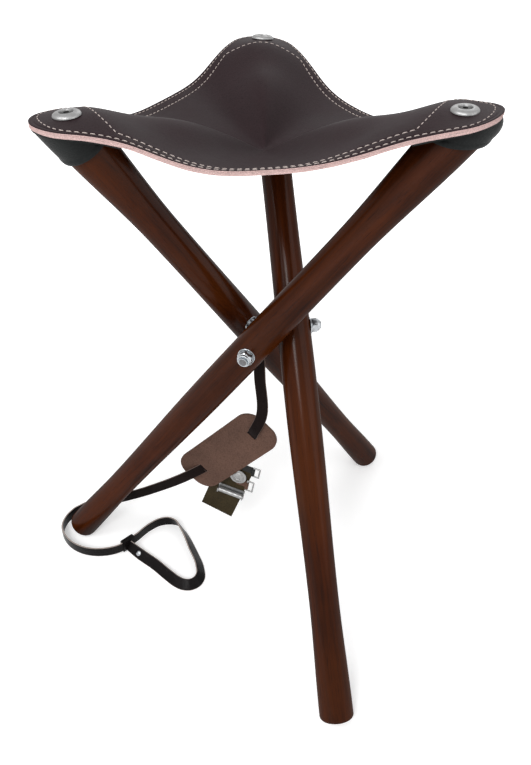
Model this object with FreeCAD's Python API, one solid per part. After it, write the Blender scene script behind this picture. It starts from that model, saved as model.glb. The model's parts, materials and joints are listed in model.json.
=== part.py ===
import FreeCAD, Part
import math
import os
from FreeCAD import Placement, Rotation, Vector

os.makedirs("parts", exist_ok=True)

# Folding three-legged seat: three turned wooden legs cross at a three-armed bolt, and a leather
# seat hangs from their tops. A carrying strap with a shoulder pad and a buckle hangs from the
# bolt, and its lower end goes round the foot of leg A.
# Millimetres, +Z up, floor at Z = 0, origin on the floor under the bolt's centre.
# The arm frame has the bolt's arm along +X. Leg A's arm is turned to ARM_AZIMUTH.

# Whole stool
LEG_LENGTH = 638.0
HINGE_FROM_FOOT = 375.0
OPEN_ANGLE = 35.4
ARM_AZIMUTH = -106.6
ARM_RADIUS = 30.0

# Turned leg
FOOT_RADIUS = 16.4
ANKLE_RADIUS = 14.3
BELLY_RADIUS = 16.2
NECK_RADIUS = 14.4
HEAD_RADIUS = 18.2
ANKLE_HEIGHT = 115.0
BELLY_HEIGHT = 300.0
NECK_HEIGHT = 517.0
FOOT_ROUNDING = 3.0
FOOT_WEAR = 1.2
WASHER_FLAT = 14.6

# Three-armed bolt, washers and lock nuts
STUD_RADIUS = 4.0
KNUCKLE_RADIUS = 8.0
KNUCKLE_HEIGHT = 16.0
COLLAR_RADIUS = 6.0
WASHER_RADIUS = 8.0
WASHER_THICKNESS = 1.6
NUT_ACROSS_FLATS = 13.0
NUT_HEX_HEIGHT = 6.0
NUT_CROWN_HEIGHT = 2.0
NUT_CROWN_RADIUS = 5.6
STUD_BEYOND_NUT = 1.5

# Leather seat
SEAT_THICKNESS = 3.0
CORNER_RADIUS = 32.0
CORNER_INSET = 6.4
CORNER_TILT = 6.0
CENTRE_SAG = 51.0
SIDE_SAG = 33.0
PLATEAU_INSET = 16.0
CREST_POWER = 1.42
VALLEY_POWER = 1.2
DROOP_POWER = 2.0
TIP_FLAT = 1.5
BAND_WIDTH = 12.0
BAND_THICKNESS = 2.2
POCKET_THICKNESS = 2.2
POCKET_REACH = 54.0
POCKET_LENGTH = 18.0
SLEEVE_BITE = 0.3
HEM_LENGTH = 4.0
HEM_THICKNESS = 0.5

# Seat screws and cup washers
SCREW_RADIUS = 2.5
SCREW_LENGTH = 18.0
SCREW_HEAD_RADIUS = 5.0
SCREW_HEAD_HEIGHT = 2.6
SOCKET_WIDTH = 4.0
SOCKET_DEPTH = 1.4
CUP_RADIUS = 10.0
CUP_HEIGHT = 3.2
CUP_RIM = 0.8

# Carrying strap, in a plane behind leg A. Points are (across, up) from the bolt's centre.
STRAP_WIDTH = 12.0
STRAP_THICKNESS = 2.0
EYE_RADIUS = 13.0
PAD_CENTRE = (-35.6, -154.7)
PAD_ANGLE = 48.0
PAD_LENGTH = 130.0
PAD_WIDTH = 50.0
PAD_THICKNESS = 2.2
PAD_ROUNDING = 18.0
SLOT_SPACING = 84.8
SLOT_WIDTH = 4.0
STRAP_BEND = (2.5, -98.0)
STRAP_SAG = 5.0
STRAP_TAIL = 8.0
ANCHOR_FROM_FOOT = 30.0
ANCHOR_SCREW_RADIUS = 1.8
ANCHOR_SCREW_LENGTH = 16.0
ANCHOR_HEAD_RADIUS = 4.0
ANCHOR_HEAD_HEIGHT = 1.8

# Buckle, hung behind the pad's lower edge
BAR_CENTRE = (-32.3, -213.2)
BUCKLE_LEAN = 10.0
CHAFE_OFFSET = (-6.0, 2.0)
CHAFE_LEAN = 19.0
CHAFE_LENGTH = 80.0
CHAFE_WIDTH = 38.0
CHAFE_THICKNESS = 1.8
BUCKLE_WIDTH = 30.0
BUCKLE_DEPTH = 12.0
BUCKLE_SHEET = 1.2
PIN_RADIUS = 1.5
ROLLER_RADIUS = 2.7
STUD_OFFSET = (3.9, 25.5)
STUD_FLANGE_RADIUS = 9.5
STUD_FLANGE = 1.1
STUD_SHANK_RADIUS = 2.5
STUD_DOME_RADIUS = 6.0
STUD_DOME = 3.0
UPPER_TAB = (19.0, 41.0)
LOWER_TAB_HEIGHT = 18.0
TAB_LENGTH = 12.0
TAB_WIDTH = 9.0
TAB_THICKNESS = 0.7
TAB_ROLL_RADIUS = 2.0
RING_WIRE_RADIUS = 0.9
RING_DEPTH = 7.0
RING_HEIGHTS = (12.0, 14.0)

# Tie strap round the foot: its centre line, outwards from the leg's axis, across from the foot's
# end, and up from the floor. It starts under the anchor screw, behind the strap's lower end.
TIE_ROUTE = ((-20.0, 4.2, 23.0), (-17.0, -8.8, 15.0), (-12.0, -16.8, 11.0), (-2.0, -21.8, 8.0),
             (14.0, -19.8, 7.0), (30.0, -3.8, 7.0), (37.0, 19.2, 7.5), (34.0, 41.2, 8.4),
             (22.0, 60.2, 8.8), (1.0, 71.2, 8.8), (-21.0, 79.2, 7.8), (-33.0, 87.2, 7.0),
             (-38.0, 96.2, 7.0), (-38.0, 107.2, 7.0), (-30.0, 118.2, 7.0), (-6.0, 141.2, 7.0),
             (16.0, 159.2, 7.0), (27.0, 164.2, 7.0), (36.0, 163.2, 7.0), (42.0, 157.7, 7.0),
             (44.0, 149.7, 7.0), (42.5, 141.2, 7.0), (38.0, 130.2, 7.0), (28.0, 108.2, 7.0),
             (20.0, 86.2, 8.0))
KEEPER_INDEX = 8
KEEPER_LENGTH = 16.0
KEEPER_THICKNESS = 1.6
RIVET_RADIUS = 1.5
RIVET_HEAD_RADIUS = 3.2
RIVET_HEAD_HEIGHT = 1.2

# Clearances
HOLE_GAP = 0.05
RUNNING_GAP = 0.2
SOFT_GAP = 0.3
LEG_TOP_GAP = 2.0
HOLE_SLACK = 0.5
SLOT_SLACK = 0.8

# Counts that set how finely a curved form is cut
PROFILE_STEPS = 32
SEAT_STATIONS = 9
SEAT_ROWS = 5

NAMES = ("a", "b", "c")
UP = Vector(0, 0, 1)
OUT = Vector(1, 0, 0)
ORIGIN = Vector(0, 0, 0)
FAR = 2000.0
THIRD = 360.0 / len(NAMES)
HALF_WEDGE = math.pi / len(NAMES)

# Places that follow from the sizes, in the arm frame
THETA = math.radians(OPEN_ANGLE)
TILT = math.radians(CORNER_TILT)
LEAN = Vector(0, math.sin(THETA), math.cos(THETA))
FOOT_RISE = ((FOOT_RADIUS - FOOT_ROUNDING) * math.sin(THETA) - FOOT_ROUNDING * math.cos(THETA)
             + FOOT_ROUNDING - FOOT_WEAR)
HUB_HEIGHT = HINGE_FROM_FOOT * math.cos(THETA) + FOOT_RISE
HINGE = Vector(ARM_RADIUS, 0, HUB_HEIGHT)
FOOT = HINGE - LEAN * HINGE_FROM_FOOT
TOP = HINGE + LEAN * (LEG_LENGTH - HINGE_FROM_FOOT)
TOP_RADIUS = math.hypot(TOP.x, TOP.y)
TOP_AZIMUTH = math.degrees(math.atan2(TOP.y, TOP.x))
RADIAL = Vector(TOP.x, TOP.y, 0).normalize()
CORNER_NORMAL = UP * math.cos(TILT) + RADIAL * math.sin(TILT)

# Layers stacked above the leg's top, as heights on the screw's axis
POCKET_UNDER = TOP.z + LEG_TOP_GAP
POCKET_TOP = POCKET_UNDER + POCKET_THICKNESS
SEAT_UNDER = POCKET_TOP + SOFT_GAP
SEAT_TOP = SEAT_UNDER + SEAT_THICKNESS

# Seat outline: straight sides joined by corner arcs centred CORNER_INSET inside the screws
CORNER_CENTRE = TOP_RADIUS - CORNER_INSET
SIDE_DISTANCE = CORNER_CENTRE * math.cos(HALF_WEDGE) + CORNER_RADIUS
TIP_RADIUS = CORNER_CENTRE + CORNER_RADIUS
PLATEAU_RADIUS = TOP_RADIUS - PLATEAU_INSET
END_STATION = (TIP_RADIUS - TIP_FLAT) * math.sin(HALF_WEDGE)
POCKET_STATION = (TIP_RADIUS - POCKET_REACH) * math.sin(HALF_WEDGE)

# Layers of the strap and buckle, measured outwards from the bolt's axis. The strap's eye lies
# midway on its collar, between the knuckle and the inner washer.
COLLAR_END = ARM_RADIUS - WASHER_FLAT - RUNNING_GAP - WASHER_THICKNESS
FRONT_LAYER = (KNUCKLE_RADIUS + COLLAR_END) / 2
PAD_FRONT = FRONT_LAYER - STRAP_THICKNESS / 2
PAD_BACK = PAD_FRONT - PAD_THICKNESS
BACK_LAYER = PAD_BACK - STRAP_THICKNESS / 2
CHAFE_FRONT = PAD_BACK - STRAP_THICKNESS
CHAFE_BACK = CHAFE_FRONT - CHAFE_THICKNESS
ROLLER_CENTRE = CHAFE_FRONT + BUCKLE_SHEET + RUNNING_GAP + ROLLER_RADIUS
LOWER_TAB = (STUD_OFFSET[0] + STUD_FLANGE_RADIUS + TAB_ROLL_RADIUS + SOFT_GAP, LOWER_TAB_HEIGHT)


def turned(shape, index):
    """Copy a shape from the arm frame to the place of leg A, B or C."""
    copy = shape.copy()
    copy.rotate(ORIGIN, UP, ARM_AZIMUTH + index * THIRD)
    return copy


def save(name, shape):
    """Write one piece to parts/NAME.step and print what it holds."""
    whole = shape.Solids[0] if len(shape.Solids) == 1 else shape
    print(f"{name}: solids {len(shape.Solids)}, volume {whole.Volume:.1f}, valid {whole.isValid()}")
    whole.exportStep(f"parts/{name}.step")


def half_space(point, normal):
    """Everything on the normal's side of a plane, as a very large box."""
    box = Part.makeBox(2 * FAR, 2 * FAR, FAR, Vector(-FAR, -FAR, 0))
    box.Placement = Placement(point, Rotation(UP, normal))
    return box


def polygon(points):
    return Part.makePolygon(list(points) + [points[0]])


def tube(outer, inner, length, base, axis):
    return Part.makeCylinder(outer, length, base, axis).cut(
        Part.makeCylinder(inner, length, base, axis))


def band(points, axis, along_axis, along_side):
    """Flat strap through points, mitred where it turns, one side of its section along axis.

    Each stretch has four ruled faces between its corner lines, so a sharp turn can't twist it.
    """
    sections = []
    for index, point in enumerate(points):
        before = point - points[index - 1] if index > 0 else points[1] - point
        after = points[index + 1] - point if index + 1 < len(points) else before
        before = Vector(before).normalize()
        middle = (before + Vector(after).normalize()).normalize()
        side = axis.cross(middle).normalize() * (along_side / 2 / middle.dot(before))
        lift = axis * (along_axis / 2)
        sections.append([point + lift + side, point + lift - side,
                         point - lift - side, point - lift + side])
    faces = [Part.Face(polygon(sections[0])), Part.Face(polygon(sections[-1]))]
    for near, far in zip(sections, sections[1:]):
        rails = [Part.makeLine(first, second) for first, second in zip(near, far)]
        for first, second in zip(rails, rails[1:] + rails[:1]):
            faces.append(Part.makeRuledSurface(first, second, 1))
    shell = Part.makeCompound(faces)
    shell.sewShape()
    solid = Part.Solid(shell.Shells[0])
    if solid.Volume < 0:
        solid.reverse()
    return solid


def leg_radius(height):
    """Radius of the turned leg: half a cosine wave from each bulge to the next neck."""
    stations = ((0.0, FOOT_RADIUS), (ANKLE_HEIGHT, ANKLE_RADIUS), (BELLY_HEIGHT, BELLY_RADIUS),
                (NECK_HEIGHT, NECK_RADIUS), (LEG_LENGTH, HEAD_RADIUS))
    for (low, first), (high, second) in zip(stations, stations[1:]):
        if height <= high:
            share = (height - low) / (high - low)
            return first + (second - first) * (1 - math.cos(math.pi * share)) / 2
    return HEAD_RADIUS


def turned_solid(start, end, extra):
    """Solid of the leg's outline, grown by extra, between two heights on the leg's axis."""
    points = []
    for step in range(PROFILE_STEPS + 1):
        height = start + (end - start) * step / PROFILE_STEPS
        points.append(Vector(leg_radius(height) + extra, 0, height))
    curve = Part.BSplineCurve()
    curve.interpolate(points)
    low = Vector(0, 0, start)
    high = Vector(0, 0, end)
    outline = Part.Wire([Part.makeLine(low, points[0]), curve.toShape(),
                         Part.makeLine(points[-1], high), Part.makeLine(high, low)])
    return Part.Face(outline).revolve(ORIGIN, UP, 360)


def on_leg(shape):
    """Move a shape from the leg's own axis, foot at zero, to the open leg in the arm frame."""
    shape.Placement = Placement(FOOT, Rotation(UP, LEAN)).multiply(shape.Placement)
    return shape


def anchor_point():
    """Point on the leg's back, where the strap's lower end is screwed on."""
    centre = FOOT + LEAN * ANCHOR_FROM_FOOT
    return centre - OUT * leg_radius(ANCHOR_FROM_FOOT)


def make_leg():
    """Turned leg with a rounded, worn foot, two washer flats, a bolt hole and a screw hole."""
    leg = turned_solid(0.0, LEG_LENGTH + HEAD_RADIUS, 0.0)
    rim = [edge for edge in leg.Edges
           if edge.BoundBox.ZMax < FOOT_ROUNDING and edge.Length > FOOT_RADIUS]
    leg = on_leg(leg.makeFillet(FOOT_ROUNDING, rim[:1]))
    leg = leg.cut(half_space(TOP, CORNER_NORMAL))
    leg = leg.cut(half_space(ORIGIN, UP * -1))
    for side in (-1, 1):
        flat = HINGE + OUT * (side * WASHER_FLAT)
        leg = leg.cut(Part.makeCylinder(WASHER_RADIUS + HOLE_SLACK, HEAD_RADIUS, flat, OUT * side))
    bolt_hole = Part.makeCylinder(STUD_RADIUS + HOLE_GAP, 4 * HEAD_RADIUS,
                                  HINGE - OUT * (2 * HEAD_RADIUS), OUT)
    depth = SCREW_LENGTH + HOLE_SLACK
    screw_hole = Part.makeCylinder(SCREW_RADIUS + HOLE_GAP, 2 * depth,
                                   TOP - CORNER_NORMAL * depth, CORNER_NORMAL)
    return leg.cut(bolt_hole).cut(screw_hole)


def make_bolt():
    """Knuckle with three collared studs, one to each leg."""
    low = Vector(0, 0, HUB_HEIGHT - KNUCKLE_HEIGHT / 2)
    bolt = Part.makeCylinder(KNUCKLE_RADIUS, KNUCKLE_HEIGHT, low, UP)
    centre = Vector(0, 0, HUB_HEIGHT)
    nut_height = NUT_HEX_HEIGHT + NUT_CROWN_HEIGHT
    stud_end = ARM_RADIUS + WASHER_FLAT + RUNNING_GAP + WASHER_THICKNESS + nut_height
    for index in range(len(NAMES)):
        collar = Part.makeCylinder(COLLAR_RADIUS, COLLAR_END, centre, OUT)
        stud = Part.makeCylinder(STUD_RADIUS, stud_end + STUD_BEYOND_NUT, centre, OUT)
        bolt = bolt.fuse([turned(collar, index), turned(stud, index)])
    return bolt


def make_washer(near_end):
    base = Vector(near_end, 0, HUB_HEIGHT)
    return tube(WASHER_RADIUS, STUD_RADIUS + HOLE_GAP, WASHER_THICKNESS, base, OUT)


def make_nut():
    """Hexagon lock nut with a round crown for its locking ring."""
    start = ARM_RADIUS + WASHER_FLAT + RUNNING_GAP + WASHER_THICKNESS
    radius = NUT_ACROSS_FLATS / 2 / math.cos(math.pi / 6)
    corners = []
    for step in range(6):
        angle = math.radians(60 * step)
        corners.append(Vector(start, radius * math.cos(angle), HUB_HEIGHT + radius * math.sin(angle)))
    base = Vector(start, 0, HUB_HEIGHT)
    nut = Part.Face(polygon(corners)).extrude(OUT * NUT_HEX_HEIGHT)
    crown = Part.makeCone(NUT_ACROSS_FLATS / 2, NUT_CROWN_RADIUS, NUT_CROWN_HEIGHT,
                          base + OUT * NUT_HEX_HEIGHT, OUT)
    hole = Part.makeCylinder(STUD_RADIUS + HOLE_GAP, NUT_HEX_HEIGHT + NUT_CROWN_HEIGHT, base, OUT)
    return nut.fuse(crown).cut(hole)


def seat_height(across, outward, top):
    """Height of a seat layer whose level at the screw is top.

    A crest runs from each screw to the centre and a valley runs to the middle of each side, and
    a power of a sine joins them. The crest falls fast near the centre and is flat, with the
    corner's tilt, near the screw.
    """
    radius = math.hypot(across, outward)
    turn = math.degrees(math.atan2(outward, across)) + math.degrees(HALF_WEDGE) / 2
    off_corner = math.radians(abs((turn + THIRD / 2) % THIRD - THIRD / 2))
    tilt_rise = (TOP_RADIUS - radius) * math.tan(TILT)
    full_rise = TOP_RADIUS * math.tan(TILT) + CENTRE_SAG
    inside = max(0.0, 1 - radius / PLATEAU_RADIUS)
    crest = top + tilt_rise - full_rise * inside ** CREST_POWER
    valley = top - CENTRE_SAG + (CENTRE_SAG - SIDE_SAG) * (radius / SIDE_DISTANCE) ** VALLEY_POWER
    blend = math.sin(math.pi / 2 - off_corner * math.pi / 2 / HALF_WEDGE) ** (2 * DROOP_POWER)
    return valley + (crest - valley) * blend


def side_edge(station):
    """Where the seat's outline lies at a station along one side, and where the crest lies."""
    crest = -abs(station) * math.tan(HALF_WEDGE / 2)
    centre = CORNER_CENTRE * math.sin(HALF_WEDGE)
    edge = -SIDE_DISTANCE
    if abs(station) > centre:
        reach = abs(station) - centre
        edge = (-CORNER_CENTRE * math.cos(HALF_WEDGE)
                - math.sqrt(max(0.0, CORNER_RADIUS ** 2 - reach ** 2)))
    return edge, crest


def stations_between(first, last, count):
    return [first + (last - first) * step / count for step in range(count + 1)]


def seat_stations():
    """Stations of one third of the seat, closer together round its corners."""
    straight = stations_between(0.0, POCKET_STATION, SEAT_STATIONS - SEAT_ROWS)
    corner = stations_between(POCKET_STATION, END_STATION, SEAT_ROWS)[1:]
    right = straight + corner
    return [-value for value in reversed(right[1:])] + right


def seat_section(station, top, thickness, full):
    """Outline of a seat layer at one station, from its edge in to the crest or the band's width."""
    edge, crest = side_edge(station)
    step = min(BAND_WIDTH, (crest - edge) / SEAT_ROWS)
    rows = [edge, edge + step]
    if full:
        rows += stations_between(edge + step, crest, SEAT_ROWS - 1)[1:]
    upper = [Vector(station, row, seat_height(station, row, top)) for row in rows]
    lower = [point - UP * thickness for point in reversed(upper)]
    return polygon(upper + lower)


def seat_layer(stations, top, thickness, full):
    """One side's share of a seat layer, with its side facing -Y."""
    sections = [seat_section(station, top, thickness, full) for station in stations]
    return Part.makeLoft(sections, True, True)


def facing_corner(shape, from_azimuth):
    """Turn a shape so that the seat corner at from_azimuth comes to the leg's top."""
    copy = shape.copy()
    copy.rotate(ORIGIN, UP, TOP_AZIMUTH - from_azimuth)
    return copy


def right_corner():
    return -math.degrees(math.pi / 2 - HALF_WEDGE)


def screw_hole(radius):
    return Part.makeCylinder(radius, 4 * HEAD_RADIUS, TOP - CORNER_NORMAL * (2 * HEAD_RADIUS),
                             CORNER_NORMAL)


def make_seat():
    """Three sagging thirds joined on the crests, with a hole at each screw."""
    third = facing_corner(seat_layer(seat_stations(), SEAT_TOP, SEAT_THICKNESS, True),
                          right_corner())
    seat = turned(third, 0).fuse([turned(third, 1), turned(third, 2)])
    for index in range(len(NAMES)):
        seat = seat.cut(turned(screw_hole(SCREW_RADIUS + HOLE_SLACK), index))
    return seat


def make_edge_band():
    """Leather band under one side of the seat, between two corner pockets."""
    inner = [value for value in seat_stations() if abs(value) <= POCKET_STATION + HOLE_GAP]
    strip = seat_layer(inner, SEAT_UNDER - HOLE_GAP, BAND_THICKNESS, False)
    for side in (-1, 1):
        end = OUT * (side * (POCKET_STATION - SOFT_GAP))
        strip = strip.cut(half_space(end, OUT * side))
    return facing_corner(strip, right_corner())


def make_pocket():
    """Corner pocket: a flange under the seat's corner and a hemmed sleeve round the leg's top."""
    right = [value for value in seat_stations() if value >= POCKET_STATION - HOLE_GAP]
    left = [-value for value in reversed(right)]
    flange = facing_corner(seat_layer(right, POCKET_TOP, POCKET_THICKNESS, True), right_corner())
    flange = flange.fuse(facing_corner(seat_layer(left, POCKET_TOP, POCKET_THICKNESS, True),
                                       right_corner() + THIRD * 2))
    start = LEG_LENGTH - POCKET_LENGTH
    over = LEG_LENGTH + HEAD_RADIUS
    sleeve = turned_solid(start, over, POCKET_THICKNESS)
    sleeve = sleeve.fuse(turned_solid(start, start + HEM_LENGTH, POCKET_THICKNESS + HEM_THICKNESS))
    sleeve = on_leg(sleeve.cut(turned_solid(start, over, HOLE_GAP)))
    level = Vector(TOP.x, TOP.y, POCKET_UNDER + SLEEVE_BITE)
    sleeve = sleeve.cut(half_space(level, CORNER_NORMAL))
    return sleeve.fuse(flange).cut(screw_hole(SCREW_RADIUS + HOLE_GAP))


def make_cup():
    """Domed cup washer on the seat, with a hole for the screw and a seat for its head."""
    base = TOP + CORNER_NORMAL * ((SEAT_TOP + SOFT_GAP - TOP.z) * math.cos(TILT))
    rim = Part.makeCylinder(CUP_RADIUS, CUP_RIM, base, CORNER_NORMAL)
    dome = Part.makeCone(CUP_RADIUS, SCREW_HEAD_RADIUS + CUP_RIM, CUP_HEIGHT - CUP_RIM,
                         base + CORNER_NORMAL * CUP_RIM, CORNER_NORMAL)
    bed = CUP_HEIGHT - SCREW_HEAD_HEIGHT
    head = Part.makeCylinder(SCREW_HEAD_RADIUS + HOLE_GAP, CUP_HEIGHT,
                             base + CORNER_NORMAL * bed, CORNER_NORMAL)
    return rim.fuse(dome).cut(head).cut(screw_hole(SCREW_RADIUS + HOLE_GAP))


def make_seat_screw():
    """Screw through cup, seat and pocket into the leg, with a hexagon socket in its head."""
    under = ((SEAT_TOP + SOFT_GAP - TOP.z) * math.cos(TILT) + CUP_HEIGHT - SCREW_HEAD_HEIGHT)
    head_base = TOP + CORNER_NORMAL * under
    shank = Part.makeCylinder(SCREW_RADIUS, under + SCREW_LENGTH,
                              TOP - CORNER_NORMAL * SCREW_LENGTH, CORNER_NORMAL)
    head = Part.makeCylinder(SCREW_HEAD_RADIUS, SCREW_HEAD_HEIGHT, head_base, CORNER_NORMAL)
    socket = Part.makeCylinder(SOCKET_WIDTH / 2, SCREW_HEAD_HEIGHT,
                               head_base + CORNER_NORMAL * (SCREW_HEAD_HEIGHT - SOCKET_DEPTH),
                               CORNER_NORMAL)
    return shank.fuse(head).cut(socket)


def in_plane(layer, across, up):
    """Point of the strap's plane, up from the bolt's centre."""
    return Vector(layer, across, HUB_HEIGHT + up)


def plate(centre, angle, length, width, back, front, rounding):
    """Flat plate in the strap's plane, turned by angle, with its corners rounded if asked."""
    box = Part.makeBox(front - back, length, width, Vector(back, -length / 2, -width / 2))
    if rounding > 0:
        corners = [edge for edge in box.Edges if edge.BoundBox.XLength > (front - back) / 2]
        box = box.makeFillet(rounding, corners)
    box.rotate(ORIGIN, OUT, angle)
    box.translate(in_plane(0.0, *centre))
    return box


def slot_centre(side):
    angle = math.radians(PAD_ANGLE)
    return (PAD_CENTRE[0] + side * SLOT_SPACING / 2 * math.cos(angle),
            PAD_CENTRE[1] + side * SLOT_SPACING / 2 * math.sin(angle))


def make_pad():
    """Oblong shoulder pad with a slot near each end for the strap."""
    pad = plate(PAD_CENTRE, PAD_ANGLE, PAD_LENGTH, PAD_WIDTH, PAD_BACK, PAD_FRONT, PAD_ROUNDING)
    for side in (-1, 1):
        pad = pad.cut(plate(slot_centre(side), PAD_ANGLE, SLOT_WIDTH, STRAP_WIDTH + 2 * SLOT_SLACK,
                            PAD_BACK - STRAP_THICKNESS, PAD_FRONT + STRAP_THICKNESS, 0.0))
    return pad


def make_strap():
    """Strap from its eye on the bolt's collar, through both slots and behind the pad."""
    front = [in_plane(FRONT_LAYER, 0.0, 0.0), in_plane(FRONT_LAYER, *STRAP_BEND),
             in_plane(FRONT_LAYER, *slot_centre(1))]
    back = [in_plane(BACK_LAYER, *slot_centre(1)), in_plane(BACK_LAYER, *slot_centre(-1))]
    strap = band(front, OUT, STRAP_THICKNESS, STRAP_WIDTH)
    strap = strap.fuse(band(back, OUT, STRAP_THICKNESS, STRAP_WIDTH))
    eye_base = in_plane(PAD_FRONT, 0.0, 0.0)
    strap = strap.fuse(Part.makeCylinder(EYE_RADIUS, STRAP_THICKNESS, eye_base, OUT))
    for side in (-1, 1):
        strap = strap.fuse(plate(slot_centre(side), PAD_ANGLE, STRAP_THICKNESS, STRAP_WIDTH,
                                 PAD_BACK - STRAP_THICKNESS, PAD_FRONT + STRAP_THICKNESS, 0.0))
    return strap.cut(Part.makeCylinder(COLLAR_RADIUS + SOFT_GAP, STRAP_THICKNESS, eye_base, OUT))


def anchor_hole():
    return Part.makeCylinder(ANCHOR_SCREW_RADIUS + SOFT_GAP, 4 * STRAP_THICKNESS,
                             anchor_point() - OUT * (4 * STRAP_THICKNESS), OUT)


def anchor_layer(order):
    """Middle of the first or second strap end stacked behind the leg at the anchor screw."""
    return anchor_point() - OUT * (order * (SOFT_GAP + STRAP_THICKNESS) - STRAP_THICKNESS / 2)


def make_lower_strap():
    """Strap from the lower slot to the back of leg A's foot, sagging a little."""
    start = in_plane(FRONT_LAYER, *slot_centre(-1))
    end = anchor_layer(1)
    middle = (start + end) * 0.5 - UP * STRAP_SAG
    tail = end + (end - middle).normalize() * STRAP_TAIL
    strap = band([start, middle, tail], OUT, STRAP_THICKNESS, STRAP_WIDTH)
    pad_axis = (in_plane(FRONT_LAYER, *slot_centre(1)) - start).normalize()
    end_plane = start - pad_axis * (STRAP_THICKNESS / 2 + RUNNING_GAP)
    return strap.cut(half_space(end_plane, pad_axis)).cut(anchor_hole())


def make_anchor_screw():
    """Round-headed screw that holds both straps' ends to leg A."""
    neck = anchor_layer(2) - OUT * (STRAP_THICKNESS / 2 + SOFT_GAP)
    shank = Part.makeCylinder(ANCHOR_SCREW_RADIUS, ANCHOR_SCREW_LENGTH, neck, OUT)
    head = Part.makeCone(ANCHOR_HEAD_RADIUS, ANCHOR_SCREW_RADIUS, ANCHOR_HEAD_HEIGHT, neck,
                         OUT * -1)
    return shank.fuse(head)


def at_buckle(layer, aside, above):
    """Point of the buckle's own leaning frame."""
    lean = math.radians(BUCKLE_LEAN)
    across = BAR_CENTRE[0] + aside * math.cos(lean) + above * math.sin(lean)
    up = BAR_CENTRE[1] - aside * math.sin(lean) + above * math.cos(lean)
    return in_plane(layer, across, up)


def buckle_plate(aside, above, width, height, back, front):
    """Flat plate square to the buckle, centred at aside and above."""
    box = Part.makeBox(front - back, width, height, Vector(back, -width / 2, -height / 2))
    box.rotate(ORIGIN, OUT, -BUCKLE_LEAN)
    box.translate(at_buckle(0.0, aside, above))
    return box


def buckle_aside():
    lean = math.radians(BUCKLE_LEAN)
    return Vector(0, math.cos(lean), -math.sin(lean))


def make_chafe():
    """Leather backing of the buckle, which leans a little more than the buckle."""
    middle = at_buckle(0.0, *CHAFE_OFFSET)
    return plate((middle.y, middle.z - HUB_HEIGHT), 90.0 - CHAFE_LEAN,
                 CHAFE_LENGTH, CHAFE_WIDTH, CHAFE_BACK, CHAFE_FRONT, 0.0)


def make_buckle_base():
    """Steel base on the chafe with an ear at each end for the roller's pin."""
    base = buckle_plate(0.0, 0.0, BUCKLE_WIDTH, BUCKLE_DEPTH, CHAFE_FRONT,
                        CHAFE_FRONT + BUCKLE_SHEET)
    ear_front = ROLLER_CENTRE + ROLLER_RADIUS
    for side in (-1, 1):
        place = side * (BUCKLE_WIDTH - BUCKLE_SHEET) / 2
        base = base.fuse(buckle_plate(place, 0.0, BUCKLE_SHEET, 2 * ROLLER_RADIUS, CHAFE_FRONT,
                                      ear_front))
    start = at_buckle(ROLLER_CENTRE, -BUCKLE_WIDTH, 0.0)
    return base.cut(Part.makeCylinder(PIN_RADIUS, 2 * BUCKLE_WIDTH, start, buckle_aside()))


def make_buckle_pin():
    start = at_buckle(ROLLER_CENTRE, -BUCKLE_WIDTH / 2, 0.0)
    return Part.makeCylinder(PIN_RADIUS, BUCKLE_WIDTH, start, buckle_aside())


def make_roller():
    length = BUCKLE_WIDTH - 2 * BUCKLE_SHEET - 2 * RUNNING_GAP
    start = at_buckle(ROLLER_CENTRE, -length / 2, 0.0)
    return tube(ROLLER_RADIUS, PIN_RADIUS + HOLE_GAP, length, start, buckle_aside())


def make_stud():
    """Flat-rimmed domed stud that holds the lower ring tab, its rim under the pad's edge."""
    foot = at_buckle(CHAFE_FRONT, *STUD_OFFSET)
    shank = Part.makeCylinder(STUD_SHANK_RADIUS, TAB_THICKNESS, foot, OUT)
    base = foot + OUT * TAB_THICKNESS
    flange = Part.makeCylinder(STUD_FLANGE_RADIUS, STUD_FLANGE, base, OUT)
    rise = STUD_DOME - STUD_FLANGE
    dome = Part.makeCone(STUD_DOME_RADIUS, STUD_DOME_RADIUS - rise, rise,
                         base + OUT * STUD_FLANGE, OUT)
    return shank.fuse([flange, dome])


def make_ring_tab(offset):
    """Leather tab on the chafe whose rolled end holds a wire ring."""
    back = CHAFE_FRONT
    front = CHAFE_FRONT + TAB_THICKNESS
    tab = buckle_plate(offset[0] - TAB_LENGTH / 2, offset[1], TAB_LENGTH, TAB_WIDTH, back, front)
    lift = Vector(0, -buckle_aside().z, buckle_aside().y)
    start = at_buckle(back + TAB_ROLL_RADIUS, *offset) - lift * (TAB_WIDTH / 2)
    roll = Part.makeCylinder(TAB_ROLL_RADIUS, TAB_WIDTH, start, lift)
    hole = Part.makeCylinder(RING_WIRE_RADIUS + HOLE_GAP, TAB_WIDTH, start, lift)
    return tab.fuse(roll).cut(hole)


def make_wire_ring(offset, height):
    """Rectangular wire ring with one side inside its tab's rolled end."""
    aside = buckle_aside()
    lift = Vector(0, -aside.z, aside.y)
    centre = at_buckle(CHAFE_FRONT + TAB_ROLL_RADIUS, *offset)
    corners = [centre - lift * (height / 2), centre + lift * (height / 2),
               centre + lift * (height / 2) + aside * RING_DEPTH,
               centre - lift * (height / 2) + aside * RING_DEPTH]
    ring = None
    for index, corner in enumerate(corners):
        run = corners[(index + 1) % len(corners)] - corner
        piece = Part.makeCylinder(RING_WIRE_RADIUS, run.Length, corner, run)
        piece = piece.fuse(Part.makeSphere(RING_WIRE_RADIUS, corner))
        ring = piece if ring is None else ring.fuse(piece)
    return ring


def tie_point(index):
    outwards, across, height = TIE_ROUTE[index]
    return Vector(ARM_RADIUS + outwards, FOOT.y + across, height)


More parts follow.
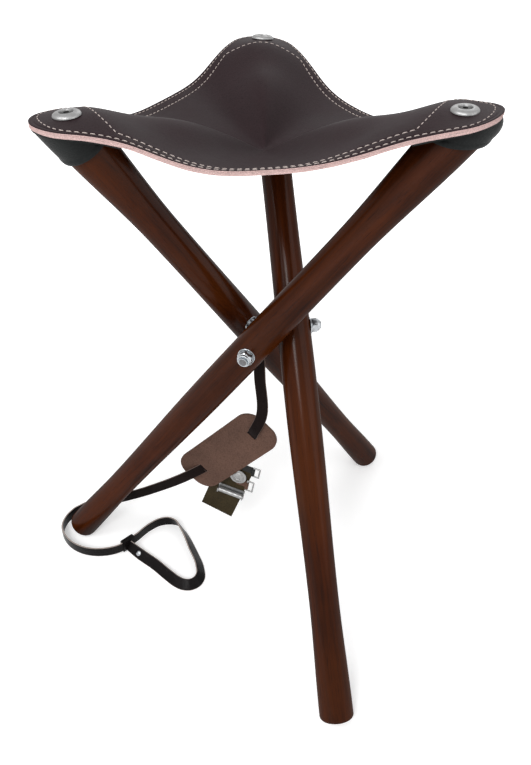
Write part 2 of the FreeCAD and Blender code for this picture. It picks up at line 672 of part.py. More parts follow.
def tie_points():
    """Route of the tie strap, from behind leg A to the outside of its keeper."""
    anchor = anchor_layer(2)
    tail = anchor + (anchor - tie_point(0)).normalize() * STRAP_TAIL
    route = [tail] + [tie_point(index) for index in range(len(TIE_ROUTE))]
    middle, run, aside = keeper_frame()
    reach = STRAP_THICKNESS / 2 + SOFT_GAP + KEEPER_THICKNESS + RUNNING_GAP
    return route + [middle + aside * reach]


def keeper_frame():
    """Middle of the keeper, the direction of the strand through it, and its outer side."""
    first = tie_point(KEEPER_INDEX)
    second = tie_point(KEEPER_INDEX + 1)
    run = (second - first).normalize()
    aside = run.cross(UP)
    return (first + second) * 0.5, run, aside


def rivet_place():
    """Middle and axis of the rivet, on the strand that ends at the keeper."""
    points = tie_points()
    run = (points[-1] - points[-2]).normalize()
    aside = run.cross(UP).normalize()
    return (points[-1] + points[-2]) * 0.5, aside


def make_tie_strap():
    """Strap on edge round the foot, through the keeper and round a loop back to it."""
    strap = band(tie_points(), UP, STRAP_WIDTH, STRAP_THICKNESS)
    middle, aside = rivet_place()
    hole = Part.makeCylinder(RIVET_RADIUS + HOLE_GAP, 4 * STRAP_THICKNESS,
                             middle - aside * (2 * STRAP_THICKNESS), aside)
    return strap.cut(hole).cut(anchor_hole())


def make_keeper():
    """Flat leather sleeve round the tie strap's first strand."""
    middle, run, aside = keeper_frame()
    start = middle - run * (KEEPER_LENGTH / 2)
    end = middle + run * (KEEPER_LENGTH / 2)
    inner = (STRAP_WIDTH + 2 * SOFT_GAP, STRAP_THICKNESS + 2 * SOFT_GAP)
    outer = (inner[0] + 2 * KEEPER_THICKNESS, inner[1] + 2 * KEEPER_THICKNESS)
    return band([start, end], UP, *outer).cut(band([start, end], UP, *inner))


def make_rivet():
    middle, aside = rivet_place()
    half = STRAP_THICKNESS / 2 + HOLE_GAP
    rivet = Part.makeCylinder(RIVET_RADIUS, 2 * half, middle - aside * half, aside)
    for side in (-1, 1):
        rivet = rivet.fuse(Part.makeCylinder(RIVET_HEAD_RADIUS, RIVET_HEAD_HEIGHT,
                                             middle + aside * (side * half), aside * side))
    return rivet


def build_legs():
    leg = make_leg()
    pocket = make_pocket()
    anchor_screw = make_anchor_screw()
    screw_bore = Part.makeCylinder(ANCHOR_SCREW_RADIUS + HOLE_GAP, ANCHOR_SCREW_LENGTH,
                                   anchor_point() - OUT * STRAP_THICKNESS, OUT)
    for index, name in enumerate(NAMES):
        wood = leg.cut(screw_bore) if index == 0 else leg
        save(f"leg_{name}", turned(wood, index))
        save(f"corner_pocket_{name}", turned(pocket, index))
        save(f"cup_washer_{name}", turned(make_cup(), index))
        save(f"seat_screw_{name}", turned(make_seat_screw(), index))
    save("anchor_screw", turned(anchor_screw, 0))


def build_hub():
    save("hub_bolt", make_bolt())
    inner = make_washer(COLLAR_END)
    outer = make_washer(ARM_RADIUS + WASHER_FLAT + RUNNING_GAP)
    for index, name in enumerate(NAMES):
        save(f"inner_washer_{name}", turned(inner, index))
        save(f"outer_washer_{name}", turned(outer, index))
        save(f"lock_nut_{name}", turned(make_nut(), index))


def build_seat():
    save("seat_panel", make_seat())
    for index, name in enumerate(("ac", "ba", "cb")):
        save(f"edge_band_{name}", turned(make_edge_band(), index))


def build_strap():
    save("shoulder_pad", turned(make_pad(), 0))
    save("shoulder_strap", turned(make_strap(), 0))
    save("shoulder_strap_lower", turned(make_lower_strap(), 0))
    save("buckle_chafe", turned(make_chafe(), 0))
    save("buckle_base", turned(make_buckle_base(), 0))
    save("buckle_pin", turned(make_buckle_pin(), 0))
    save("buckle_roller", turned(make_roller(), 0))
    save("strap_stud", turned(make_stud(), 0))
    for name, offset, height in zip(("upper", "lower"), (UPPER_TAB, LOWER_TAB), RING_HEIGHTS):
        save(f"ring_tab_{name}", turned(make_ring_tab(offset), 0))
        save(f"wire_ring_{name}", turned(make_wire_ring(offset, height), 0))


def build_tie():
    save("tie_strap", turned(make_tie_strap(), 0))
    save("tie_keeper", turned(make_keeper(), 0))
    save("tie_rivet", turned(make_rivet(), 0))


build_legs()
build_hub()
build_seat()
build_strap()
build_tie()
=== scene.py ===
"""Folding three-legged leather seat, dressed piece by piece over its solid parts.

Metres, +Z up, floor at Z = 0. Each leg has an arm frame: out along its bolt stud, across in the
plane in which it folds, and up. Every surface is a grid worked out from a formula.
"""
import json
import math

import bmesh
import bpy
import numpy as np
from mathutils import Matrix


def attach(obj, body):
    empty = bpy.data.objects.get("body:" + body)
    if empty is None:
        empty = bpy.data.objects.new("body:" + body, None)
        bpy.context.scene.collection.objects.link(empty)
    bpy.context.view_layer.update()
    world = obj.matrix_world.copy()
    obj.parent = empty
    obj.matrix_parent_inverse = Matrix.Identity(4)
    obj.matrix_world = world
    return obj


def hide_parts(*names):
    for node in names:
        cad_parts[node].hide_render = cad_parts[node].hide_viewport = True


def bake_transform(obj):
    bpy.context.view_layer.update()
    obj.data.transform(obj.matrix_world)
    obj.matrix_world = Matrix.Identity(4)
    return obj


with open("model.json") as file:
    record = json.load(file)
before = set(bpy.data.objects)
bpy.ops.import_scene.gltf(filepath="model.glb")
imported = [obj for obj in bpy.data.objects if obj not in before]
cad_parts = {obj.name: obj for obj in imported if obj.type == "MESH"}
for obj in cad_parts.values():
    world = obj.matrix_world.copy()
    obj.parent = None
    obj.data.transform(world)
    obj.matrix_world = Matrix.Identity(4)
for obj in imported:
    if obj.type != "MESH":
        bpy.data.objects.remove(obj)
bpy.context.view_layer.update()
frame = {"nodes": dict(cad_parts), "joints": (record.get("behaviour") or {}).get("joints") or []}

MM = 0.001
UP = np.array((0.0, 0.0, 1.0))
LEGS = ("a", "b", "c")
THIRD = 2 * math.pi / len(LEGS)

# Legs
LEG_LENGTH = 638 * MM
HINGE_FROM_FOOT = 375 * MM
LEG_STATIONS = np.array((0, 115, 300, 517, 638)) * MM
LEG_RADII = np.array((16.4, 14.3, 16.2, 14.4, 18.2)) * MM
FOOT_ROUNDING = 3 * MM

# Bolt, nuts and washers, measured outwards from the leg's middle
STUD_RADIUS = 4 * MM
THREAD_DEPTH = 0.45 * MM
THREAD_PITCH = 1.25 * MM
WASHER_FLAT = 14.8 * MM
WASHER_RADIUS = 8 * MM
WASHER_THICKNESS = 1.6 * MM
NUT_HALF_WIDTH = 6.5 * MM
NUT_HEX = 6 * MM
NUT_HEIGHT = 8 * MM
STUD_BEYOND_NUT = 1.5 * MM

# Leather seat. A crest runs to each screw, and the higher its ridge power, the narrower it is.
# Sway is a lift of the whole seat and four parts of two waves round it.
SEAT_THICKNESS = 2.2 * MM
BAND_THICKNESS = 1.8 * MM
FLANGE_THICKNESS = 1.5 * MM
CORNER_RADIUS = 32 * MM
CORNER_INSET = 6.4 * MM
CORNER_TILT = math.radians(6)
CENTRE_SAG = 51 * MM
SIDE_SAG = 33 * MM
PLATEAU_INSET = 16 * MM
CENTRE_SOFTNESS = 9 * MM
CREST_DIP = 5 * MM
CREST_DIP_RADIUS = 105 * MM
CREST_DIP_WIDTH = 28 * MM
CREST_POWER = 1.42
VALLEY_POWER = 1.2
RIDGE_POWER = {"a": 3.5, "b": 8.0, "c": 4.0}
TIP_CURL = {"a": 4.7 * MM, "b": -0.7 * MM, "c": 1.1 * MM}
CURL_START = 150 * MM
CURL_REACH = 31 * MM
TIP_TWIST = {"a": 0.12, "b": 0.0, "c": 0.0}
TWIST_START = 105 * MM
TWIST_REACH = 45 * MM
SWAY = np.array((0.7, -0.5, -3.2, -1.7, -4.1)) * MM
SWAY_POWER = 1.5
SHEET_GAP = 0.05 * MM
SEAM_DEPTH = 0.35 * MM
RIM_ROLL = 0.5 * MM
EDGE_GROOVE = 0.5 * MM
SLEEVE_LENGTH = {"a": 14 * MM, "b": 18 * MM, "c": 18 * MM}
SLEEVE_SLANT = {"a": 0.6, "b": 0.0, "c": 0.0}
SLEEVE_GAP = 0.1 * MM
SLEEVE_RIPPLE = 0.35 * MM
HEM_SHARE = 0.16
HEM_HEIGHT = 2 * MM
HEM_ROUNDING = 2.4 * MM
HEM_SWELL = 0.5 * MM
FLANGE_FLARE = 1.25
POCKET_THICKNESS = 2.2 * MM
SEAT_LIFT = 7.5 * MM
OUTER_STITCH_INSET = 3 * MM
TIP_STITCH_INSET = 7 * MM
INNER_STITCH_INSET = 10 * MM
SEAM_FROM_TIP = 47 * MM
SEAM_BULGE = 3 * MM
STITCH_PITCH = 5.2 * MM
STITCH_LENGTH = 3.8 * MM
THREAD_RADIUS = 0.36 * MM

# Cup washers
CUP_RADIUS = 10 * MM

# Carrying strap and shoulder pad, across and up from the bolt's centre
STRAP_WIDTH = 11.5 * MM
TIE_WIDTH = 13 * MM
STRAP_THICKNESS = 2 * MM
EYE_RADIUS = 13 * MM
COLLAR_RADIUS = 6 * MM
PAD_CENTRE = np.array((-35.6, -154.7)) * MM
PAD_ANGLE = math.radians(48)
PAD_LENGTH = 130 * MM
PAD_WIDTH = 50 * MM
PAD_THICKNESS = 2.2 * MM
PAD_ROUNDING = 18 * MM
PAD_FRONT = 9.8 * MM
PAD_BOW = 0.8 * MM
SLOT_SPACING = 84.8 * MM
SLOT_WIDTH = 4 * MM
SLOT_SLACK = 0.3 * MM
SLOT_RUN = 7 * MM
SLOT_LAYER = PAD_FRONT - 1.1 * MM
STRAP_BEND = np.array((2.5, -98.0)) * MM
STRAP_SAG = 5 * MM
STRAP_TAIL = 8 * MM
ANCHOR_FROM_FOOT = 30 * MM
SOFT_GAP = 0.3 * MM
ROUTE_SPACING = 1.5 * MM

# Buckle
BAR_CENTRE = np.array((-32.3, -213.2)) * MM
BUCKLE_LEAN = math.radians(10)
CHAFE_OFFSET = np.array((-6.0, 2.0)) * MM
CHAFE_LEAN = math.radians(19)
CHAFE_LENGTH = 80 * MM
CHAFE_WIDTH = 38 * MM
CHAFE_THICKNESS = 1.8 * MM
STUD_OFFSET = np.array((3.9, 25.5)) * MM
TAB_THICKNESS = 0.7 * MM

# Tie strap round the foot of leg A: outwards from the leg's axis, across from the foot's end,
# and height of its middle line
TIE_ROUTE = np.array((
    (-20, 4.2, 23), (-17, -8.8, 15), (-12, -16.8, 11), (-2, -21.8, 8), (14, -19.8, 7),
    (30, -3.8, 7), (37, 19.2, 7.5), (34, 41.2, 8.4), (22, 60.2, 8.8), (1, 71.2, 8.8),
    (-21, 79.2, 7.8), (-33, 87.2, 7), (-38, 96.2, 7), (-38, 107.2, 7), (-30, 118.2, 7),
    (-6, 141.2, 7), (16, 159.2, 7), (27, 164.2, 7), (36, 163.2, 7), (42, 157.7, 7),
    (44, 149.7, 7), (42.5, 141.2, 7), (38, 130.2, 7), (28, 108.2, 7), (20, 86.2, 8))) * MM
KEEPER_INDEX = 8

# Lean of the tie strap in degrees, upright at its start, at places counted along its route
TIE_LEAN_AT = (0, 13, 16, 25, 26)
TIE_LEAN = (0, 0, 46, 46, 30)
RIVET_FROM_END = 12
KEEPER_LENGTH = 16 * MM
KEEPER_THICKNESS = 1.6 * MM
RIVET_HEAD_RADIUS = 3.2 * MM

# Light. Each softbox has its place, the point it faces, its two sides and its power in watts.
WORLD_LIGHT = 0.45
FLOOR_LIFT = 0.35
FLOOR_LIFT_FROM = 0.35
FLOOR_LIFT_TO = 1.3
FLOOR_REACH = 6
SOFTBOXES = {
    "key": ((-1.3, -0.9, 1.9), (0, 0, 0.35), (1.0, 1.2), 17),
    "fill": ((1.6, -0.8, 1.2), (0, 0, 0.3), (1.4, 1.4), 9),
    "back": ((0.4, 1.8, 1.6), (0, 0, 0.4), (1.6, 0.8), 5),
    "sheen": ((-0.35, -1.3, 1.35), (0.02, 0, 0.3), (0.35, 0.6), 12)}

# Camera: pitch, yaw and roll in degrees, place, and lens and film height in millimetres
CAMERA_TURNS = (-36.459, 1.008, 0.748)
CAMERA_PLACE = (0.0139, -0.5919, 0.6896)
LENS_LENGTH = 35.21
FILM_HEIGHT = 36.0


# Frames

JOINTS = {joint["name"]: joint for joint in frame["joints"]}
OPEN_ANGLE = math.radians(JOINTS["leg_a_fold"]["range_deg"][1])


class Arm:
    """One leg's frame: out, across and up, its leaning axis and where its foot and top are.

    normal is the seat's at this corner, and normal_in_leg the same in the leg's own frame.
    """

    def __init__(self, name):
        joint = JOINTS[f"leg_{name}_fold"]
        self.name = name
        self.hinge = np.array(joint["pos_m"])
        self.out = np.array(joint["axis"])
        self.across = np.cross(UP, self.out)
        self.lean = self.across * math.sin(OPEN_ANGLE) + UP * math.cos(OPEN_ANGLE)
        self.side = np.cross(self.lean, self.out)
        self.foot = self.hinge - self.lean * HINGE_FROM_FOOT
        self.top = self.hinge + self.lean * (LEG_LENGTH - HINGE_FROM_FOOT)
        self.azimuth = math.atan2(self.top[1], self.top[0])
        radial = np.array((self.top[0], self.top[1], 0.0))
        self.reach = np.linalg.norm(radial)
        self.radial = radial / self.reach
        self.normal = UP * math.cos(CORNER_TILT) + self.radial * math.sin(CORNER_TILT)
        self.normal_in_leg = np.array((self.out, self.side, self.lean)) @ self.normal

    def at(self, out, across, height):
        """Points from arm coordinates, with height above the floor."""
        return (np.multiply.outer(out, self.out) + np.multiply.outer(across, self.across)
                + np.multiply.outer(height, UP))

    def in_leg(self, local):
        """Points from the leg's own frame, whose Z runs up the wood from the foot."""
        return (self.foot + local[..., :1] * self.out + local[..., 1:2] * self.side
                + local[..., 2:] * self.lean)


ARMS = {name: Arm(name) for name in LEGS}
ARM_A = ARMS["a"]
HUB_HEIGHT = ARM_A.hinge[2]
TOP_RADIUS = ARM_A.reach
SEAT_TOP = ARM_A.top[2] + SEAT_LIFT
CORNER_CENTRE = TOP_RADIUS - CORNER_INSET
SIDE_DISTANCE = CORNER_CENTRE * math.cos(THIRD / 2) + CORNER_RADIUS
TIP_RADIUS = CORNER_CENTRE + CORNER_RADIUS
PLATEAU_RADIUS = TOP_RADIUS - PLATEAU_INSET


# Mesh tools

def unit(vectors):
    """Vectors of length one in the same directions."""
    return vectors / np.linalg.norm(vectors, axis=-1, keepdims=True)


def add_object(name, data):
    """Puts a mesh, lamp or camera into the scene."""
    item = bpy.data.objects.new(name, data)
    bpy.context.scene.collection.objects.link(item)
    return item


def make_piece(name, patches, materials, sharp=40.0, attributes=None, holes=None):
    """One closed mesh from grids of points, each with its own material.

    patches is a list of (grid, material index). Rows and columns of a grid become quads, and
    points that meet are welded, which closes seams and poles. attributes names a list of arrays,
    one to each patch, with a value or a vector at each point. holes is for a piece of one patch
    and marks the quads that are left out.
    """
    counts = [grid.shape[0] * grid.shape[1] for grid, _ in patches]
    starts = np.concatenate(([0], np.cumsum(counts)))
    points = np.concatenate([grid.reshape(-1, 3) for grid, _ in patches])
    quads = []
    slots = []
    for (grid, slot), start in zip(patches, starts):
        rows, columns = grid.shape[:2]
        index = start + np.arange(rows * columns).reshape(rows, columns)
        quad = np.stack((index[:-1, :-1], index[:-1, 1:], index[1:, 1:], index[1:, :-1]), -1)
        quads.append(quad.reshape(-1, 4) if holes is None else quad[~holes])
        slots.append(np.full(len(quads[-1]), slot))
    quads = np.concatenate(quads)
    mesh = bpy.data.meshes.new(name)
    mesh.vertices.add(len(points))
    mesh.vertices.foreach_set("co", points.ravel())
    mesh.loops.add(quads.size)
    mesh.loops.foreach_set("vertex_index", quads.ravel())
    mesh.polygons.add(len(quads))
    mesh.polygons.foreach_set("loop_start", np.arange(0, quads.size, 4))
    mesh.polygons.foreach_set("material_index", np.concatenate(slots))
    mesh.update(calc_edges=True)
    for label, arrays in (attributes or {}).items():
        values = np.concatenate([array.reshape(count, -1) for array, count in zip(arrays, counts)])
        vector = values.shape[1] == 3
        layer = mesh.attributes.new(label, "FLOAT_VECTOR" if vector else "FLOAT", "POINT")
        layer.data.foreach_set("vector" if vector else "value", values.astype(np.float32).ravel())
    weld(mesh)
    for material in materials:
        mesh.materials.append(material)
    mesh.polygons.foreach_set("use_smooth", np.ones(len(mesh.polygons), bool))
    mesh.set_sharp_from_angle(angle=math.radians(sharp))
    return add_object(name, mesh)


def weld(mesh):
    """Merges points that meet and turns every face outwards."""
    work = bmesh.new()
    work.from_mesh(mesh)
    bmesh.ops.remove_doubles(work, verts=work.verts, dist=1e-6)
    bmesh.ops.recalc_face_normals(work, faces=work.faces)
    work.to_mesh(mesh)
    work.free()


def sheet_edges(front, back):
    """Strips that close two facing grids: at the first and last row, and at both sides."""
    rows = [np.stack((front[row], back[row])) for row in (0, -1)]
    sides = [np.stack((front[:, column], back[:, column])) for column in (0, -1)]
    return rows, sides


def ring_angles(count):
    """Angles once round a ring, with the first one again at the end."""
    return np.linspace(0, 2 * math.pi, count + 1)


def squarish(wave, power):
    """A sine or cosine pushed towards a square wave by a power less than one."""
    return np.sign(wave) * np.abs(wave) ** power


def revolve(origin, axis, profile, count=64):
    """Surface of revolution: each profile row is (radius, distance along the axis)."""
    profile = np.array(profile, float)
    axis = axis / np.linalg.norm(axis)
    first = unit(np.cross(axis, UP if abs(axis[2]) < 0.9 else np.array((1.0, 0, 0))))
    second = np.cross(axis, first)
    angles = ring_angles(count)
    circle = np.cos(angles)[:, None] * first + np.sin(angles)[:, None] * second
    radius = profile[:, 0]
    if profile.shape[1] == 2:
        radius = np.repeat(radius[:, None], count + 1, 1)
    return origin + radius[..., None] * circle + profile[:, 1][:, None, None] * axis


def arc_profile(centre, radius, start, end, count=8):
    """Points of an arc in a profile, from one angle in degrees to another."""
    angles = np.radians(np.linspace(start, end, count))
    return np.stack((centre[0] + radius * np.cos(angles), centre[1] + radius * np.sin(angles)), 1)


def smooth_route(points, spacing):
    """Smooth line through points, a cubic between each pair, resampled to even spacing.

    The slope at each point is that of the chord between its neighbours.
    """
    points = np.array(points, float)
    places = run_lengths(points)
    slopes = np.gradient(points, places, axis=0)
    fine = np.linspace(0, places[-1], 40 * len(points))
    index = np.clip(np.searchsorted(places, fine, side="right") - 1, 0, len(points) - 2)
    width = (places[index + 1] - places[index])[:, None]
    share = (fine[:, None] - places[index][:, None]) / width
    line = ((2 * share ** 3 - 3 * share ** 2 + 1) * points[index]
            + (share ** 3 - 2 * share ** 2 + share) * width * slopes[index]
            + (3 * share ** 2 - 2 * share ** 3) * points[index + 1]
            + (share ** 3 - share ** 2) * width * slopes[index + 1])
    return resample(line, spacing)


def run_lengths(line):
    """Length along a line from its start to each of its points."""
    return np.concatenate(([0], np.cumsum(np.linalg.norm(np.diff(line, axis=0), axis=1))))


def along_line(wanted, lengths, values):
    """Values given at some lengths along a line, interpolated at the wanted lengths."""
    return np.stack([np.interp(wanted, lengths, column) for column in values.T], -1)


def resample(line, spacing):
    """The same line with evenly spaced points."""
    lengths = run_lengths(line)
    count = max(2, int(round(lengths[-1] / spacing)) + 1)
    return along_line(np.linspace(0, lengths[-1], count), lengths, line)


def strap_grid(line, wide, width, thickness):
    """Flat strap along a line: a rounded rectangle, its long side along the wide direction.

    The section is a superellipse. The ends are closed by a ring shrunk to the line's end.
    Returns the grid and, at each point, 1 on the cut edges and 0 on the faces, with the change
    between them where the section is at about 95 hundredths of its half width.
    """
    tangent = unit(np.gradient(line, axis=0))
    wide = np.broadcast_to(np.array(wide, float), line.shape)
    wide = unit(wide - np.sum(wide * tangent, 1, keepdims=True) * tangent)
    thin = np.cross(tangent, wide)
    angles = ring_angles(36)
    across = width / 2 * squarish(np.cos(angles), 0.18)
    through = thickness / 2 * squarish(np.sin(angles), 0.45)
    grid = (line[:, None] + across[None, :, None] * wide[:, None]
            + through[None, :, None] * thin[:, None])
    edge = np.clip((np.abs(across) / (width / 2) - 0.93) / 0.04, 0, 1)
    edge = np.repeat(edge[None], len(line), 0)
    first, last = (np.repeat(end[:, None], len(angles), 1) for end in (line[:1], line[-1:]))
    flat = np.ones((1, len(angles)))
    return np.concatenate((first, grid, last)), np.concatenate((flat, edge, flat))


def stitch_grids(line, normals, pitch):
    """Thread stitches along a line: a tapered bead each, half sunk in the leather."""
    lengths = run_lengths(line)
    count = max(1, int(round(lengths[-1] / pitch)))
    step = lengths[-1] / count
    middles = (np.arange(count) + 0.5) * step
    along = np.linspace(-1, 1, 7)
    places = middles[:, None] + along[None] * STITCH_LENGTH / 2
    centre = along_line(places, lengths, line)
    normal = along_line(places, lengths, normals)
    tangent = unit(np.gradient(centre, axis=1))
    side = unit(np.cross(normal, tangent))
    normal = np.cross(tangent, side)
    size = THREAD_RADIUS * np.sqrt(np.clip(1 - along ** 6, 0, 1))
    rise = THREAD_RADIUS * (1 - 1.6 * along ** 4)
    angles = ring_angles(6)
    section = (np.cos(angles)[:, None] * side[:, :, None] + np.sin(angles)[:, None]
               * normal[:, :, None])
    grid = (centre + rise[None, :, None] * normal * 0.5)[:, :, None] + size[:, None, None] * section
    return list(grid)


# Shader groups and materials

def new_group(name, inputs, outputs):
    """Empty shader group with named inputs and outputs, and its two end nodes."""
    group = bpy.data.node_groups.new(name, "ShaderNodeTree")
    for label, kind, value in inputs:
        socket = group.interface.new_socket(label, in_out="INPUT", socket_type=kind)
        if value is not None:
            socket.default_value = value
    for label, kind in outputs:
        group.interface.new_socket(label, in_out="OUTPUT", socket_type=kind)
    return group, group.nodes.new("NodeGroupInput"), group.nodes.new("NodeGroupOutput")


def set_inputs(tree, node, inputs):
    """Gives a node's inputs plain values, or links to other nodes' output sockets."""
    for label, value in inputs.items():
        if isinstance(value, bpy.types.NodeSocket):
            tree.links.new(value, node.inputs[label])
        else:
            node.inputs[label].default_value = value


def add_node(tree, kind, inputs=None, **settings):
    """Adds a shader node with its settings and inputs."""
    node = tree.nodes.new(kind)
    for label, value in settings.items():
        setattr(node, label, value)
    set_inputs(tree, node, inputs or {})
    return node


def mix_colour(tree, share, first, second):
    """Blend from the first colour to the second."""
    return add_node(tree, "ShaderNodeMix", {0: share, 6: first, 7: second},
                    data_type="RGBA").outputs[2]


def scale_colour(tree, colour, factor):
    """A colour times a number."""
    return add_node(tree, "ShaderNodeVectorMath", {0: colour, "Scale": factor},
                    operation="SCALE").outputs[0]


def object_place(tree):
    """Places in the object's own frame."""
    return add_node(tree, "ShaderNodeTexCoord").outputs["Object"]


def noise(tree, place, scale, **more):
    """Smooth noise between about 0 and 1 at a place."""
    return add_node(tree, "ShaderNodeTexNoise",
                    {"Vector": place, "Scale": scale, **more}).outputs["Fac"]


def remap(tree, value, low, high, to_low=0.0, to_high=1.0):
    """A value moved in a straight line from one range to another, held at its ends."""
    return add_node(tree, "ShaderNodeMapRange",
                    {"Value": value, "From Min": low, "From Max": high,
                     "To Min": to_low, "To Max": to_high}).outputs["Result"]


def arithmetic(tree, operation, first, second):
    """Sum, product or greater of two values."""
    return add_node(tree, "ShaderNodeMath", {0: first, 1: second}, operation=operation).outputs[0]


def leather_group():
    """Tanned leather: pebbled grain with painted shade between its pebbles, cloudy colour, pale
    rubbed spots and a raw cut edge.
    """
    tree, start, end = new_group(
        "leather",
        [("Place", "NodeSocketVector", None), ("Colour", "NodeSocketColor", (0.1, 0.1, 0.1, 1)),
         ("Raw Colour", "NodeSocketColor", (0.5, 0.4, 0.35, 1)), ("Raw", "NodeSocketFloat", 0.0),
         ("Grain Size", "NodeSocketFloat", 900.0), ("Cloud", "NodeSocketFloat", 0.25),
         ("Roughness", "NodeSocketFloat", 0.45)],
        [("Colour", "NodeSocketColor"), ("Roughness", "NodeSocketFloat"),
         ("Height", "NodeSocketFloat")])
    place = start.outputs["Place"]
    raw = start.outputs["Raw"]
    pebbles = add_node(tree, "ShaderNodeTexVoronoi", {"Vector": place, "Randomness": 0.9,
                                                      "Scale": start.outputs["Grain Size"]},
                       feature="SMOOTH_F1").outputs["Distance"]
    creases = noise(tree, place, 160.0, Detail=6.0, Roughness=0.65)
    clouds = noise(tree, place, 22.0, Detail=5.0, Roughness=0.6)
    fibre = noise(tree, place, 1400.0, Detail=3.0, Roughness=0.6)
    shade = remap(tree, clouds, 0.3, 0.7, -1.0, 1.0)
    shade = arithmetic(tree, "MULTIPLY", shade, start.outputs["Cloud"])
    tinted = scale_colour(tree, start.outputs["Colour"], arithmetic(tree, "ADD", shade, 1.0))
    # Painted shade: the colour falls to 0.72 of itself between the pebbles, where the grain's relief
    # is lowest.
    grain_with_painted_shade = scale_colour(tree, tinted, remap(tree, pebbles, 0.25, 0.75, 1.0, 0.72))
    fibred = scale_colour(tree, start.outputs["Raw Colour"], remap(tree, fibre, 0.3, 0.7, 0.7, 1.2))
    rough = remap(tree, clouds, 0.3, 0.7, -0.05, 0.06)
    rough = arithmetic(tree, "ADD", rough, start.outputs["Roughness"])
    rough = arithmetic(tree, "MAXIMUM", rough, arithmetic(tree, "MULTIPLY", raw, 0.9))
    relief = arithmetic(tree, "MULTIPLY", pebbles, -0.6)
    relief = arithmetic(tree, "ADD", relief, creases)
    relief = arithmetic(tree, "ADD", relief, arithmetic(tree, "MULTIPLY", fibre, raw))
    set_inputs(tree, end, {"Colour": mix_colour(tree, raw, grain_with_painted_shade, fibred), "Roughness": rough,
                           "Height": relief})
    return tree


def metal_group():
    """Plated steel: faint scratches in its relief, smudges in its roughness and dull spots in its
    colour.
    """
    tree, start, end = new_group(
        "plated_metal",
        [("Colour", "NodeSocketColor", (0.6, 0.6, 0.6, 1)), ("Roughness", "NodeSocketFloat", 0.25),
         ("Dulling", "NodeSocketFloat", 0.3)],
        [("Colour", "NodeSocketColor"), ("Roughness", "NodeSocketFloat"),
         ("Height", "NodeSocketFloat")])
    place = object_place(tree)
    smudge = noise(tree, place, 260.0, Detail=5.0, Roughness=0.6)
    scratch = noise(tree, place, 2600.0, Detail=2.0, Distortion=1.5)
    dull = arithmetic(tree, "MULTIPLY", remap(tree, smudge, 0.4, 0.75), start.outputs["Dulling"])
    colour = mix_colour(tree, dull, start.outputs["Colour"], (0.16, 0.15, 0.14, 1))
    rough = arithmetic(tree, "ADD", start.outputs["Roughness"],
                       arithmetic(tree, "MULTIPLY", dull, 0.5))
    set_inputs(tree, end, {"Colour": colour, "Roughness": rough, "Height": scratch})
    return tree


def new_material(name):
    """New material, its tree and its surface shader."""
    material = bpy.data.materials.new(name)
    material.use_nodes = True
    return material, material.node_tree, material.node_tree.nodes["Principled BSDF"]


def add_bump(tree, shader, height, distance):
    """Relief of the surface, with the height that a value of one stands for."""
    bump = add_node(tree, "ShaderNodeBump", {"Height": height, "Distance": distance,
                                             "Strength": 1.0})
    set_inputs(tree, shader, {"Normal": bump.outputs["Normal"]})


def leather(name, colour, raw=(0.45, 0.3, 0.25), grain=900.0, cloud=0.25, roughness=0.45,
            depth=0.25 * MM, specular=0.22, cut=False):
    """Leather finish. A strap's raw_edge attribute shows where it is cut; cut is all raw."""
    material, tree, shader = new_material(name)
    edge = add_node(tree, "ShaderNodeAttribute", attribute_name="raw_edge").outputs["Fac"]
    group = add_node(tree, "ShaderNodeGroup", node_tree=LEATHER)
    set_inputs(tree, group, {"Place": object_place(tree), "Raw": 1.0 if cut else edge,
                             "Colour": (*colour, 1), "Raw Colour": (*raw, 1), "Grain Size": grain,
                             "Cloud": cloud, "Roughness": roughness})
    set_inputs(tree, shader, {"Base Color": group.outputs["Colour"],
                              "Roughness": group.outputs["Roughness"],
                              "Specular IOR Level": specular})
    add_bump(tree, shader, group.outputs["Height"], depth)
    return material


def plated(name, colour, roughness, dulling):
    """Plated or bare metal finish."""
    material, tree, shader = new_material(name)
    group = add_node(tree, "ShaderNodeGroup", node_tree=METAL)
    set_inputs(tree, group, {"Colour": (*colour, 1), "Roughness": roughness, "Dulling": dulling})
    set_inputs(tree, shader, {"Base Color": group.outputs["Colour"],
                              "Roughness": group.outputs["Roughness"], "Metallic": 1.0})
    add_bump(tree, shader, group.outputs["Height"], 0.01 * MM)
    return material


def wood_material():
    """Stained turned wood under a worn varnish, its grain drawn along each leg.

    The along_leg attribute holds each point's place in its leg's own frame. Noise stretched
    along the leg makes streaks, a finer one makes pores, and a third one worn patches.
    """
    material, tree, shader = new_material("stained_wood")
    place = add_node(tree, "ShaderNodeAttribute", attribute_name="along_leg").outputs["Vector"]
    drawn = add_node(tree, "ShaderNodeMapping", {"Vector": place, "Scale": (1, 1, 0.045)})
    streaks = noise(tree, drawn.outputs[0], 110.0, Detail=6.0, Roughness=0.6, Distortion=0.6)
    pores = noise(tree, drawn.outputs[0], 900.0, Detail=3.0, Roughness=0.7)
    patches = noise(tree, place, 9.0, Detail=4.0)
    ramp = add_node(tree, "ShaderNodeValToRGB", {"Fac": streaks})
    dark, pale = ramp.color_ramp.elements
    dark.position, dark.color = 0.32, (0.017, 0.0038, 0.0010, 1)
    pale.position, pale.color = 0.70, (0.060, 0.0125, 0.0024, 1)
    stain = mix_colour(tree, remap(tree, patches, 0.42, 0.72, 0.0, 0.55),
                       ramp.outputs["Color"], (0.072, 0.0170, 0.0024, 1))
    colour = mix_colour(tree, remap(tree, pores, 0.56, 0.70, 1.0, 0.45),
                        (0.010, 0.003, 0.002, 1), stain)
    set_inputs(tree, shader, {"Base Color": colour, "Specular IOR Level": 0.0,
                              "Roughness": remap(tree, patches, 0.3, 0.7, 0.30, 0.42),
                              "Coat Weight": 0.17, "Coat Roughness": 0.2})
    add_bump(tree, shader, arithmetic(tree, "ADD", pores, streaks), 0.12 * MM)
    return material


